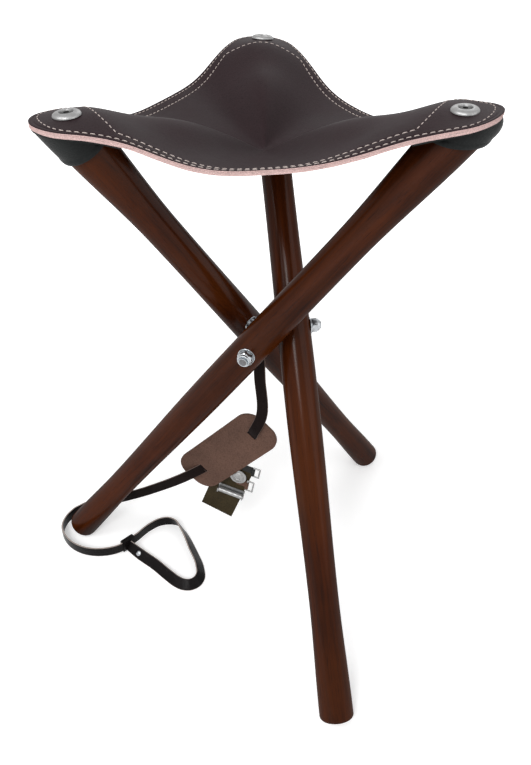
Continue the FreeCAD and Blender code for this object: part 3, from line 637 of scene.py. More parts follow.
def speckled(name, scale, detail, first, second, roughness, depth):
    """Plain finish with fine noise between two colours, which is its relief too."""
    material, tree, shader = new_material(name)
    speck = noise(tree, object_place(tree), scale, Detail=detail)
    set_inputs(tree, shader, {"Base Color": mix_colour(tree, speck, (*first, 1), (*second, 1)),
                              "Roughness": roughness})
    add_bump(tree, shader, speck, depth)
    return material


LEATHER = leather_group()
METAL = metal_group()
WOOD = wood_material()
THREAD = speckled("waxed_thread", 1800.0, 3.0, (0.34, 0.27, 0.25), (0.62, 0.54, 0.50), 0.7, 0.1 * MM)
NYLON = speckled("nylon_ring", 600.0, 2.0, (0.30, 0.36, 0.42), (0.42, 0.48, 0.52), 0.5, 0.05 * MM)
SEAT_LEATHER = leather("seat_leather", (0.027, 0.0165, 0.0185), grain=1100.0, cloud=0.14,
                       roughness=0.50, depth=0.14 * MM, specular=0.05)
SEAT_RAW = leather("cut_edge", (0.5, 0.4, 0.4), raw=(0.60, 0.42, 0.40), cut=True)
BAND_LEATHER = leather("band_leather", (0.040, 0.026, 0.026), grain=700.0, roughness=0.6)
POCKET_LEATHER = leather("pocket_leather", (0.0135, 0.0150, 0.0150), roughness=0.5, cloud=0.35,
                         specular=0.1)
STRAP_LEATHER = leather("strap_leather", (0.0100, 0.0060, 0.0056), raw=(0.20, 0.145, 0.125),
                        roughness=0.36, cloud=0.4, specular=0.03)
TIE_LEATHER = leather("tie_leather", (0.0075, 0.0060, 0.0062), raw=(0.42, 0.36, 0.33),
                      roughness=0.25, cloud=0.5, specular=0.07)
PAD_LEATHER = leather("pad_leather", (0.125, 0.070, 0.052), raw=(0.07, 0.045, 0.036), grain=700.0,
                      cloud=0.16, roughness=0.65, specular=0.08)
CHAFE_LEATHER = leather("chafe_leather", (0.036, 0.026, 0.012), grain=700.0, cloud=0.35,
                        roughness=0.6, specular=0.08)
CHAFE_RAW = leather("chafe_edge", (0.05, 0.04, 0.02), raw=(0.035, 0.028, 0.016), cut=True)
BLACK_LEATHER = leather("black_leather", (0.006, 0.006, 0.0055), roughness=0.5)
ZINC = plated("zinc_steel", (0.42, 0.44, 0.46), 0.24, 0.35)
CUP_METAL = plated("cup_metal", (0.34, 0.34, 0.34), 0.42, 0.4)
SCREW_METAL = plated("screw_metal", (0.05, 0.05, 0.05), 0.4, 0.3)
DARK_METAL = plated("dark_metal", (0.16, 0.16, 0.17), 0.4, 0.5)


# Legs

def leg_radius(height):
    """Half a cosine wave from each bulge of the turned leg to the next neck."""
    index = np.clip(np.searchsorted(LEG_STATIONS, height, side="right") - 1, 0,
                    len(LEG_STATIONS) - 2)
    share = (height - LEG_STATIONS[index]) / (LEG_STATIONS[index + 1] - LEG_STATIONS[index])
    share = np.clip(share, 0, 1)
    return (LEG_RADII[index]
            + (LEG_RADII[index + 1] - LEG_RADII[index]) * (1 - np.cos(math.pi * share)) / 2)


def leg_grid(arm):
    """Turned leg: radius against height, rounded at the foot, then cut by floor and seat.

    A point past either cut is slid along the leg's axis on to it, which makes the two flats.
    """
    rounding = np.radians(np.linspace(-90, 0, 9))
    foot = LEG_RADII[0] - FOOT_ROUNDING
    heights = np.concatenate(([0, 0, 0, 0], FOOT_ROUNDING * (1 + np.sin(rounding)),
                              np.linspace(FOOT_ROUNDING, LEG_LENGTH + LEG_RADII[-1], 210)[1:],
                              np.full(4, LEG_LENGTH + LEG_RADII[-1])))
    radii = np.concatenate((foot * np.array((0, 0.35, 0.7, 0.95)),
                            foot + FOOT_ROUNDING * np.cos(rounding),
                            leg_radius(heights[13:-4]),
                            LEG_RADII[-1] * np.array((0.9, 0.6, 0.3, 0))))
    angles = ring_angles(80)
    local = np.stack((radii[:, None] * np.cos(angles), radii[:, None] * np.sin(angles),
                      np.repeat(heights[:, None], len(angles), 1)), -1)
    normal = arm.normal_in_leg
    drop = min(0.0, corner_lift(arm)) * arm.normal[2] / normal[2]
    ceiling = LEG_LENGTH + drop - (local[..., :2] @ normal[:2]) / normal[2]
    floor = -(arm.foot[2] + local[..., 1] * arm.side[2]) / arm.lean[2]
    local[..., 2] = np.minimum(np.maximum(local[..., 2], floor), ceiling)
    return arm.in_leg(local), local


def make_leg(arm):
    """Wooden leg. Its grain is shifted from leg to leg, so that no two look the same."""
    grid, local = leg_grid(arm)
    shifted = local + np.array((0.3, 0.1, 0.7)) * LEGS.index(arm.name)
    leg = make_piece(f"turned_leg_{arm.name}", [(grid, 0)], [WOOD],
                     attributes={"along_leg": [shifted]})
    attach(leg, f"leg_{arm.name}")
    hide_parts(f"leg_{arm.name}")


# Bolt hardware

def nut_grid(arm):
    """Lock nut: hexagon with bevelled corners, a round crown and a bore.

    Each profile row is a limit on the radius and a distance. The hexagon is the lesser of that
    limit and the flats' distance over the cosine of the angle from the nearest flat's middle.
    """
    corner = NUT_HALF_WIDTH / math.cos(math.pi / 6)
    crown = arc_profile((5.0 * MM, NUT_HEIGHT - 0.9 * MM), 0.9 * MM, 0, 120, 7)
    profile = np.concatenate((
        [(STUD_RADIUS, 0.0), (6.3 * MM, 0.0), (corner, 0.75 * MM), (corner, NUT_HEX - 1.1 * MM),
         (6.5 * MM, NUT_HEX - 0.35 * MM), (6.1 * MM, NUT_HEX), (5.9 * MM, NUT_HEX + 0.4 * MM)],
        crown, [(4.45 * MM, NUT_HEIGHT - 0.4 * MM)]))
    nylon = np.array([(4.5 * MM, NUT_HEIGHT - 0.45 * MM), (3.6 * MM, NUT_HEIGHT - 0.5 * MM),
                      (STUD_RADIUS, 0.0)])
    angles = ring_angles(96)
    flats = NUT_HALF_WIDTH / np.cos((angles + math.pi / 6) % (math.pi / 3) - math.pi / 6)
    origin = arm.hinge + arm.out * (WASHER_FLAT + WASHER_THICKNESS)
    body = revolve(origin, arm.out, profile, 96)
    axis_point = origin + profile[:, 1][:, None, None] * arm.out
    spoke = body - axis_point
    length = np.linalg.norm(spoke, axis=-1, keepdims=True)
    body = axis_point + spoke / length * np.minimum(length, flats[None, :, None])
    return body, revolve(origin, arm.out, nylon, 96)


def washer_profile(inner, outer, thickness, easing=0.25 * MM):
    """Flat ring with eased edges, closed on itself."""
    return [(inner, 0.0), (outer - easing, 0.0), (outer, easing), (outer, thickness - easing),
            (outer - easing, thickness), (inner + easing, thickness), (inner, thickness - easing),
            (inner, 0.0)]


def stud_end_grid(arm):
    """Threaded stud end: the radius falls and rises once for each pitch along a helix."""
    start = WASHER_FLAT + WASHER_THICKNESS + NUT_HEIGHT - 1.2 * MM
    end = WASHER_FLAT + WASHER_THICKNESS + NUT_HEIGHT + STUD_BEYOND_NUT
    distance = np.linspace(start, end, 26)
    angles = ring_angles(48)
    phase = (distance[:, None] / THREAD_PITCH - angles[None] / (2 * math.pi)) % 1
    radius = STUD_RADIUS - THREAD_DEPTH * (1 - np.abs(2 * phase - 1))
    radius = np.minimum(radius, STUD_RADIUS - 0.5 * MM + (end - distance[:, None]))
    distance = np.concatenate((distance[:1], distance, distance[-1:], distance[-1:]))
    radius = np.concatenate((radius[:1] * 0, radius, radius[-1:] * 0.6, radius[-1:] * 0))
    circle = (np.cos(angles)[:, None] * arm.across + np.sin(angles)[:, None] * UP)
    return arm.hinge + distance[:, None, None] * arm.out + radius[..., None] * circle


def make_hardware(arm):
    """Nut, two washers and the threaded stud end of one arm."""
    nut, nylon = nut_grid(arm)
    piece = make_piece(f"nut_{arm.name}", [(nut, 0), (nylon, 1)], [ZINC, NYLON], sharp=28)
    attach(piece, "hub")
    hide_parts(f"lock_nut_{arm.name}")
    for place, distance in (("inner", -WASHER_FLAT - WASHER_THICKNESS), ("outer", WASHER_FLAT)):
        grid = revolve(arm.hinge + arm.out * distance, arm.out,
                       washer_profile(STUD_RADIUS + 0.05 * MM, WASHER_RADIUS, WASHER_THICKNESS))
        washer = make_piece(f"washer_{place}_{arm.name}", [(grid, 0)], [ZINC])
        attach(washer, "hub")
        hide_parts(f"{place}_washer_{arm.name}")
    stud = make_piece(f"stud_end_{arm.name}", [(stud_end_grid(arm), 0)], [DARK_METAL])
    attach(stud, "hub")


# Seat

def outline_radius(turn, inset):
    """Distance from the seat's centre to its outline, drawn in by inset, at an angle off a corner.

    Near the corner the outline is an arc about the corner's centre, elsewhere a straight side.
    """
    turn = np.abs(turn)
    radius = CORNER_RADIUS - inset
    tangent = np.arctan2(radius * math.sin(THIRD / 2), CORNER_CENTRE + radius * math.cos(THIRD / 2))
    reach = np.clip(radius ** 2 - (CORNER_CENTRE * np.sin(turn)) ** 2, 0, None)
    corner = CORNER_CENTRE * np.cos(turn) + np.sqrt(reach)
    side = (SIDE_DISTANCE - inset) / np.cos(THIRD / 2 - turn)
    return np.where(turn <= tangent, corner, side)


def seat_height(arm, radius, turn):
    """Height of the seat's upper face. turn is the angle off this arm's corner.

    A crest runs from each screw to the centre and a valley to the middle of each side, and a
    power of a cosine of one and a half times the turn joins them. The crest dips before the
    corner. Sway adds two waves round the seat, a square beyond the screw curls the tip, and a
    tilt across the crest twists it.
    """
    soft = radius ** 2 / np.sqrt(radius ** 2 + CENTRE_SOFTNESS ** 2)
    full_rise = TOP_RADIUS * math.tan(CORNER_TILT) + CENTRE_SAG
    crest = (SEAT_TOP + (TOP_RADIUS - soft) * math.tan(CORNER_TILT)
             - full_rise * np.clip(1 - soft / PLATEAU_RADIUS, 0, None) ** CREST_POWER
             - CREST_DIP * np.exp(-((radius - CREST_DIP_RADIUS) / CREST_DIP_WIDTH) ** 2))
    valley = SEAT_TOP - CENTRE_SAG + (CENTRE_SAG - SIDE_SAG) * (soft / SIDE_DISTANCE) ** VALLEY_POWER
    blend = np.clip(np.cos(1.5 * turn), 0, 1) ** RIDGE_POWER[arm.name]
    angle = arm.azimuth + turn
    waves = (SWAY[0] + SWAY[1] * np.cos(angle) + SWAY[2] * np.sin(angle)
             + SWAY[3] * np.cos(2 * angle) + SWAY[4] * np.sin(2 * angle))
    share = np.clip(radius / outline_radius(turn, 0.0), 0, 1) ** SWAY_POWER
    curl = TIP_CURL[arm.name] * (np.clip(radius - CURL_START, 0, None) / CURL_REACH) ** 2
    ramp = np.clip((radius - TWIST_START) / TWIST_REACH, 0, 1)
    twist = TIP_TWIST[arm.name] * radius * np.sin(turn) * ramp ** 2 * (3 - 2 * ramp)
    return valley + (crest - valley) * blend + waves * share + curl + twist


def seat_points(arm, radius, turn, lower):
    """Points of the seat at a radius and turn off this arm's corner, lower than the top face."""
    angle = arm.azimuth + turn
    return np.stack((radius * np.cos(angle), radius * np.sin(angle),
                     seat_height(arm, radius, turn) - lower), -1)


def corner_lift(arm):
    """How much higher the seat is at this corner's screw than in the solid part."""
    return float(seat_height(arm, np.array(TOP_RADIUS), np.array(0.0))) - SEAT_TOP


def corner_turns():
    """Turns off the corner from side middle to side middle, even along the outline."""
    arc = np.linspace(0, THIRD / 2, 22)
    arc = np.arctan2(CORNER_RADIUS * np.sin(arc), CORNER_CENTRE + CORNER_RADIUS * np.cos(arc))
    half = CORNER_CENTRE * math.sin(THIRD / 2)
    side = THIRD / 2 - np.arctan2(np.linspace(half, 0, 80)[1:], SIDE_DISTANCE)
    turns = np.concatenate((arc, side))
    return np.concatenate((-turns[:0:-1], turns))


def stitch_inset(turn):
    """Inset of the outer stitches, more at the very tip of a corner than along the sides."""
    tip = np.exp(-(turn / 0.11) ** 2)
    return OUTER_STITCH_INSET + (TIP_STITCH_INSET - OUTER_STITCH_INSET) * tip


def edge_wave(turn, size):
    """Slight waviness of the leather's cut edge."""
    return size * (np.sin(turn * 41) * 0.5 + np.sin(turn * 17 + 1) * 0.5)


def make_seat_third(arm):
    """Third of the seat round one corner: top face, cut edge and underside.

    The top dips along its stitches, as a bell curve of the distance from their row, and falls
    off fast at the rim. A groove runs round the middle of the cut edge.
    """
    turns = corner_turns()
    insets = np.array((0, 0.25, 0.6, 1.1, 1.7, 2.3, 2.7, 3, 3.3, 3.7, 4.4, 5.4, 6.6, 7.8, 8.8, 9.5,
                       10, 10.5, 11.2, 12.2, 13.6, 15.5, 18, 21, 24)) * MM
    rim = outline_radius(turns[None], insets[:, None])
    inner = rim[-1:] * np.linspace(1, 0, 34)[1:, None]
    radius = np.concatenate((rim, inner))
    turn = np.broadcast_to(turns, radius.shape)
    seam = np.exp(-((insets - OUTER_STITCH_INSET) / (0.7 * MM)) ** 2)
    inner_seam = np.exp(-((insets - INNER_STITCH_INSET) / (0.8 * MM)) ** 2)
    along = (np.abs(turns) > seam_turn()).astype(float)
    dip = SEAM_DEPTH * (seam[:, None] + inner_seam[:, None] * along)
    dip += RIM_ROLL * np.exp(-insets / (0.35 * MM))[:, None]
    lower = np.concatenate((dip, np.zeros(inner.shape)))
    top = seat_points(arm, radius, turn, lower)
    under = seat_points(arm, radius, turn, SEAT_THICKNESS)
    share = np.array((0, 0.12, 0.42, 0.47, 0.53, 0.58, 0.88, 1.0))[:, None]
    edge_radius = rim[:1] - EDGE_GROOVE * np.array((0, 0, 0, 1, 1, 0, 0, 0))[:, None]
    edge = seat_points(arm, edge_radius, np.broadcast_to(turns, edge_radius.shape), 0)
    edge[..., 2] = top[0, :, 2] + (under[0, :, 2] - top[0, :, 2]) * share
    cuts = [(cut, 0) for cut in sheet_edges(top, under)[1]]
    third = make_piece(f"seat_{arm.name}", [(top, 0), (under, 0), (edge, 1)] + cuts,
                       [SEAT_LEATHER, SEAT_RAW])
    bend_with_corner(third)
    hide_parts("seat_panel")


def bend_with_corner(piece):
    """Bakes the piece's place into its points. Nothing attaches it to a body or bends it with its
    leg.
    """
    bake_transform(piece)


def seam_turn():
    """Turn off the corner at which the seam across it meets the inner row of stitches."""
    along = TIP_RADIUS - SEAM_FROM_TIP
    return math.atan2(across_at(along), along)


def across_at(along):
    """Half width of the corner between its inner stitch rows, along the crest from the centre."""
    side = SIDE_DISTANCE - INNER_STITCH_INSET
    return (side - along * math.cos(THIRD / 2)) / math.sin(THIRD / 2)


def seam_line():
    """Seam across the corner in crest coordinates: a parabola that bulges towards the tip."""
    end = TIP_RADIUS - SEAM_FROM_TIP
    half = across_at(end)
    side = np.linspace(-half, half, 60)
    along = end + SEAM_BULGE * (1 - (side / half) ** 2)
    return np.hypot(along, side), np.arctan2(side, along)


def surface_normals(arm, radius, turn):
    """Normals of the seat's top face by differences of its height."""
    step = 0.5 * MM
    middle = seat_points(arm, radius, turn, 0)
    outer = seat_points(arm, radius + step, turn, 0)
    aside = seat_points(arm, radius, turn + step / radius, 0)
    return unit(np.cross(outer - middle, aside - middle))


def make_seat_stitches(arm):
    """Outer row round the edge, inner rows along the sides and a row across the corner."""
    turns = corner_turns()
    rows = [(outline_radius(turns, stitch_inset(turns)), turns)]
    for side in (-1, 1):
        part = side * np.linspace(seam_turn(), THIRD / 2, 90)
        rows.append((outline_radius(part, INNER_STITCH_INSET), part))
    rows.append(seam_line())
    grids = []
    for radius, turn in rows:
        line = seat_points(arm, radius, turn, 0.2 * MM)
        grids += stitch_grids(line, surface_normals(arm, radius, turn), STITCH_PITCH)
    piece = make_piece(f"seat_stitches_{arm.name}", [(grid, 0) for grid in grids], [THREAD])
    bend_with_corner(piece)


def make_band(arm):
    """Second layer of leather under the seat's edge, all round one corner."""
    turns = corner_turns()
    insets = np.array((0, 0.3, 1, 3, 6, 9, 11.5, 12)) * MM
    insets = insets[:, None] + edge_wave(turns, 0.35 * MM)[None] * (insets[:, None] < 1 * MM)
    radius = outline_radius(turns[None], insets + 0.15 * MM)
    turn = np.broadcast_to(turns, radius.shape)
    top = seat_points(arm, radius, turn, SEAT_THICKNESS + SHEET_GAP)
    under = seat_points(arm, radius, turn, SEAT_THICKNESS + BAND_THICKNESS)
    rims, cuts = sheet_edges(top, under)
    patches = [(top, 0), (under, 0), (rims[0], 1), (rims[1], 0)] + [(cut, 0) for cut in cuts]
    band = make_piece(f"edge_layer_{arm.name}", patches, [BAND_LEATHER, SEAT_RAW])
    bend_with_corner(band)
    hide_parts("edge_band_ac", "edge_band_ba", "edge_band_cb")


# Corner pockets

def make_flange(arm):
    """Black leather under the seat's corner, from the edge in to the seam across it."""
    radius_line, turn_line = seam_line()
    far = turn_line * FLANGE_FLARE
    tip = outline_radius(far, 0.8 * MM)
    share = np.linspace(0, 1, 16)[:, None]
    start = np.stack((radius_line * np.cos(turn_line), radius_line * np.sin(turn_line)), -1)
    end = np.stack((tip * np.cos(far), tip * np.sin(far)), -1)
    flat = start[None] + (end - start)[None] * share[..., None]
    radius = np.linalg.norm(flat, axis=-1)
    turn = np.arctan2(flat[..., 1], flat[..., 0])
    depth = SEAT_THICKNESS + BAND_THICKNESS + SHEET_GAP
    top = seat_points(arm, radius, turn, depth)
    under = seat_points(arm, radius, turn, depth + FLANGE_THICKNESS)
    rims, cuts = sheet_edges(top, under)
    piece = make_piece(f"pocket_flange_{arm.name}",
                       [(grid, 0) for grid in [top, under] + rims + cuts], [POCKET_LEATHER])
    bend_with_corner(piece)
    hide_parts(f"corner_pocket_{arm.name}")


def off_corner(arm, points):
    """Distance of points from the seat's centre, and their turn off this arm's corner."""
    turn = np.arctan2(points[..., 1], points[..., 0]) - arm.azimuth
    return np.linalg.norm(points[..., :2], axis=-1), (turn + math.pi) % (2 * math.pi) - math.pi


def make_sleeve(arm):
    """Leather sleeve round the leg's top, with a rolled hem and soft ripples.

    The hem is half an ellipse and the ripples are five waves round, which grow upwards. The upper
    edge follows the seat's underside, found in four rounds, each with the height that the last
    one gave. Points past the seat's outline are drawn in, the more so the higher they are.
    """
    angles = ring_angles(90)
    length = SLEEVE_LENGTH[arm.name]
    share = np.concatenate((np.linspace(0, HEM_SHARE, 9)[:-1], np.linspace(HEM_SHARE, 1, 26)))
    foot = LEG_LENGTH - length
    normal = arm.normal_in_leg
    layers = []
    for gap in (POCKET_THICKNESS, SLEEVE_GAP):
        size = leg_radius(np.full((1, 1), foot)) + gap
        ring = np.stack((size * np.cos(angles), size * np.sin(angles)), -1)
        head = LEG_LENGTH - (ring @ normal[:2]) / normal[2]
        for _ in range(4):
            spot = arm.in_leg(np.concatenate((ring, head[..., None]), -1))
            under = seat_height(arm, *off_corner(arm, spot)) - SEAT_THICKNESS - BAND_THICKNESS
            head = head + (under - SOFT_GAP - spot[..., 2]) / arm.lean[2]
        hem_height = foot + (head - LEG_LENGTH) * SLEEVE_SLANT[arm.name]
        height = hem_height + (head - hem_height) * share[:, None]
        rise = height - hem_height
        swell = leg_radius(np.minimum(height, LEG_LENGTH)) + gap
        if gap == POCKET_THICKNESS:
            hem = np.sqrt(np.clip(1 - ((rise - HEM_HEIGHT) / HEM_ROUNDING) ** 2, 0, 1))
            ripple = np.sin(5 * angles + 0.7) * np.clip(rise / length, 0, 1)
            swell = swell + HEM_SWELL * hem + SLEEVE_RIPPLE * ripple
        layer = arm.in_leg(np.stack((swell * np.cos(angles), swell * np.sin(angles), height), -1))
        reach, turn = off_corner(arm, layer)
        pull = np.clip(reach - outline_radius(turn, 2 * MM), 0, None) * share[:, None] ** 2
        layer[..., :2] *= (1 - pull / reach)[..., None]
        layers.append(layer)
    rims, _ = sheet_edges(*layers)
    piece = make_piece(f"pocket_sleeve_{arm.name}",
                       [(grid, 0) for grid in layers + rims], [POCKET_LEATHER])
    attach(piece, f"leg_{arm.name}")
    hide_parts(f"corner_pocket_{arm.name}")


def make_cup_and_screw(arm):
    """Domed cup washer with a dished middle, and the socket screw in it."""
    radius, turn = np.array(TOP_RADIUS), np.array(0.0)
    origin = seat_points(arm, radius, turn, 0.1 * MM)
    normal = surface_normals(arm, radius, turn)
    outer = [(2.6 * MM, 0.1 * MM), (CUP_RADIUS - 0.3 * MM, 0.0), (CUP_RADIUS, 0.3 * MM),
             (CUP_RADIUS - 0.1 * MM, 0.9 * MM)]
    dome = np.array([(5.9 * MM + 4.0 * MM * math.cos(a), 0.6 * MM + 2.4 * MM * math.sin(a))
                     for a in np.radians(np.linspace(12, 100, 10))])
    dish = [(4.9 * MM, 2.1 * MM), (4.7 * MM, 1.2 * MM), (2.6 * MM, 0.9 * MM), (2.6 * MM, 0.1 * MM)]
    cup = make_piece(f"cup_{arm.name}", [(revolve(origin, normal, np.concatenate(
        (outer, dome, dish))), 0)], [CUP_METAL])
    head = [(0.0, 0.4 * MM), (4.2 * MM, 0.4 * MM), (4.5 * MM, 1.4 * MM), (4.1 * MM, 2.0 * MM),
            (3.0 * MM, 2.35 * MM), (1.9 * MM, 2.4 * MM), (1.8 * MM, 1.2 * MM), (0.0, 1.0 * MM)]
    screw = make_piece(f"screw_{arm.name}", [(revolve(origin, normal, head), 0)], [SCREW_METAL])
    for piece, node in ((cup, "cup_washer"), (screw, "seat_screw")):
        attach(piece, f"leg_{arm.name}")
        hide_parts(f"{node}_{arm.name}")


# Carrying strap and pad

def in_plane(layer, across_up):
    """Points of the strap's plane, layer outwards from the bolt's axis."""
    across_up = np.array(across_up, float)
    layer = np.broadcast_to(layer, across_up.shape[:-1])
    return ARM_A.at(layer, across_up[..., 0], HUB_HEIGHT + across_up[..., 1])


PAD_AXIS = np.array((math.cos(PAD_ANGLE), math.sin(PAD_ANGLE)))
PAD_SIDE = np.array((-math.sin(PAD_ANGLE), math.cos(PAD_ANGLE)))
SLOT_HIGH = PAD_CENTRE + PAD_AXIS * SLOT_SPACING / 2
SLOT_LOW = PAD_CENTRE - PAD_AXIS * SLOT_SPACING / 2
PAD_BACK = PAD_FRONT - PAD_THICKNESS
FRONT_LAYER = PAD_FRONT + STRAP_THICKNESS / 2
BACK_LAYER = PAD_BACK - STRAP_THICKNESS / 2
CHAFE_FRONT = PAD_BACK - STRAP_THICKNESS


def pad_grid():
    """Rounded oblong in pad coordinates: lines across it, shortened round its corners."""
    straight = PAD_LENGTH / 2 - PAD_ROUNDING
    corner = straight + PAD_ROUNDING * np.sin(np.radians(np.linspace(0, 90, 14)))
    slot = SLOT_SPACING / 2
    marks = np.array((slot - SLOT_WIDTH / 2, slot + SLOT_WIDTH / 2))
    middle = np.linspace(0, marks[0], 22)
    half = np.concatenate((middle, marks[1:], corner))
    length = np.concatenate((-half[:0:-1], half))
    slot_half = (STRAP_WIDTH / 2 + SLOT_SLACK) / (PAD_WIDTH / 2)
    share = np.concatenate((np.linspace(0, slot_half, 6), np.linspace(slot_half, 0.97, 8)[1:],
                            [1.0]))
    share = np.concatenate((-share[:0:-1], share))
    reach = np.clip(np.abs(length) - straight, 0, PAD_ROUNDING)
    width = PAD_WIDTH / 2 - PAD_ROUNDING + np.sqrt(np.clip(PAD_ROUNDING ** 2 - reach ** 2, 0, None))
    return length, share, width


def make_pad():
    """Shoulder pad: a thick leather plate with two slots.

    It bows back with the square of the distance from its middle. A quad is left out where all
    four of its corners lie in a slot.
    """
    length, share, width = pad_grid()
    along = np.repeat(length[:, None], len(share), 1)
    aside = width[:, None] * share[None]
    bow = -PAD_BOW * (along / (PAD_LENGTH / 2)) ** 2
    plane = PAD_CENTRE + along[..., None] * PAD_AXIS + aside[..., None] * PAD_SIDE
    front = in_plane(PAD_FRONT, plane) + bow[..., None] * ARM_A.out
    near = 0.01 * MM
    cut = ((np.abs(np.abs(along) - SLOT_SPACING / 2) < SLOT_WIDTH / 2 + near)
           & (np.abs(aside) < STRAP_WIDTH / 2 + SLOT_SLACK + near))
    holes = cut[:-1, :-1] & cut[:-1, 1:] & cut[1:, 1:] & cut[1:, :-1]
    piece = make_piece("pad", [(front, 0)], [PAD_LEATHER], holes=holes)
    mesh = piece.data
    normals = np.empty(3 * len(mesh.polygons), np.float32)
    mesh.polygons.foreach_get("normal", normals)
    if np.sum(normals.reshape(-1, 3) @ ARM_A.out) < 0:
        mesh.flip_normals()
    solid = piece.modifiers.new("thickness", "SOLIDIFY")
    solid.thickness = PAD_THICKNESS
    solid.offset = -1
    bevel = piece.modifiers.new("eased_edge", "BEVEL")
    bevel.width = 0.6 * MM
    bevel.segments = 3
    bevel.limit_method = "ANGLE"
    bevel.angle_limit = math.radians(50)
    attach(piece, "hub")
    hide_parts("shoulder_pad")


def make_strap():
    """Strap from its eye on the bolt's collar, in and out of both slots of the pad."""
    down = unit(SLOT_HIGH - STRAP_BEND)
    points = np.array((
        (FRONT_LAYER, 0.0, -9 * MM), (FRONT_LAYER, 1.2 * MM, -45 * MM), (FRONT_LAYER, *STRAP_BEND),
        (FRONT_LAYER + SOFT_GAP, *(SLOT_HIGH - down * SLOT_RUN)), (SLOT_LAYER, *SLOT_HIGH),
        (BACK_LAYER, *(SLOT_HIGH - PAD_AXIS * SLOT_RUN)), (BACK_LAYER, *PAD_CENTRE),
        (BACK_LAYER, *(SLOT_LOW + PAD_AXIS * SLOT_RUN)), (SLOT_LAYER, *SLOT_LOW)))
    line = smooth_route(in_plane(points[:, 0], points[:, 1:]), ROUTE_SPACING)
    tangent = unit(np.gradient(line, axis=0))
    wide = np.cross(tangent, ARM_A.out)
    slot_side = in_plane(0.0, PAD_SIDE) - in_plane(0.0, np.zeros(2))
    places = np.linspace(0, 1, len(line))
    near_slot = np.clip((places - 0.42) / 0.1, 0, 1)[:, None]
    sign = np.sign(np.sum(wide * slot_side, 1, keepdims=True))
    wide = unit(wide * sign * (1 - near_slot) + slot_side * near_slot)
    grid, edge = strap_grid(line, wide, STRAP_WIDTH, STRAP_THICKNESS)
    ring = revolve(in_plane(PAD_FRONT, (0.0, 0.0)), ARM_A.out,
                   washer_profile(COLLAR_RADIUS + 0.3 * MM, EYE_RADIUS, STRAP_THICKNESS, 0.4 * MM))
    piece = make_piece("carrying_strap", [(grid, 0), (ring, 0)], [STRAP_LEATHER],
                       attributes={"raw_edge": [edge, np.zeros(ring.shape[:2])]})
    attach(piece, "hub")
    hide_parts("shoulder_strap")


def anchor_layer(order):
    """Middle of the first or second layer of strap that the screw holds behind leg A's foot."""
    behind = leg_radius(ANCHOR_FROM_FOOT) + order * (SOFT_GAP + STRAP_THICKNESS) - STRAP_THICKNESS / 2
    return ARM_A.foot + ARM_A.lean * ANCHOR_FROM_FOOT - ARM_A.out * behind


def make_lower_strap():
    """Strap from the lower slot to the back of leg A's foot, sagging a little."""
    slot = in_plane(SLOT_LAYER, SLOT_LOW)
    end = anchor_layer(1)
    run = unit(end - in_plane(FRONT_LAYER, SLOT_LOW))
    leave = in_plane(FRONT_LAYER, SLOT_LOW) + run * SLOT_RUN
    middle = (in_plane(FRONT_LAYER, SLOT_LOW) + end) / 2 - UP * STRAP_SAG
    tail = end + unit(end - middle) * STRAP_TAIL
    line = smooth_route([slot, leave, middle, end, tail], ROUTE_SPACING)
    tangent = unit(np.gradient(line, axis=0))
    grid, edge = strap_grid(line, np.cross(tangent, ARM_A.out), STRAP_WIDTH, STRAP_THICKNESS)
    piece = make_piece("carrying_strap_lower", [(grid, 0)], [STRAP_LEATHER],
                       attributes={"raw_edge": [edge]})
    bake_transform(piece)
    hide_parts("shoulder_strap_lower")


# Buckle

BUCKLE_ASIDE = np.array((math.cos(BUCKLE_LEAN), -math.sin(BUCKLE_LEAN)))
BUCKLE_ABOVE = np.array((math.sin(BUCKLE_LEAN), math.cos(BUCKLE_LEAN)))


def at_buckle(layer, offset):
    """Point at an offset from the buckle's bar, aside and above in its own lean."""
    offset = np.array(offset, float)
    return in_plane(layer, BAR_CENTRE + offset[0] * BUCKLE_ASIDE + offset[1] * BUCKLE_ABOVE)


def make_chafe():
    """Olive leather backing of the buckle, its free lower end curled slightly forwards."""
    axis = np.array((math.sin(CHAFE_LEAN), math.cos(CHAFE_LEAN)))
    side = np.array((math.cos(CHAFE_LEAN), -math.sin(CHAFE_LEAN)))
    middle = BAR_CENTRE + CHAFE_OFFSET[0] * BUCKLE_ASIDE + CHAFE_OFFSET[1] * BUCKLE_ABOVE
    along = np.linspace(-CHAFE_LENGTH / 2, CHAFE_LENGTH / 2, 50)
    across = np.linspace(-CHAFE_WIDTH / 2, CHAFE_WIDTH / 2, 30)
    plane = middle + along[:, None, None] * axis + across[None, :, None] * side
    curl = 1.2 * MM * np.clip((-along - 12 * MM) / (28 * MM), 0, 1) ** 2
    front = in_plane(0.0, plane) + (CHAFE_FRONT + curl)[:, None, None] * ARM_A.out
    back = front - CHAFE_THICKNESS * ARM_A.out
    rims, cuts = sheet_edges(front, back)
    patches = [(front, 0), (back, 0)] + [(grid, 1) for grid in rims + cuts]
    piece = make_piece("chafe", patches, [CHAFE_LEATHER, CHAFE_RAW])
    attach(piece, "hub")
    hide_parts("buckle_chafe")


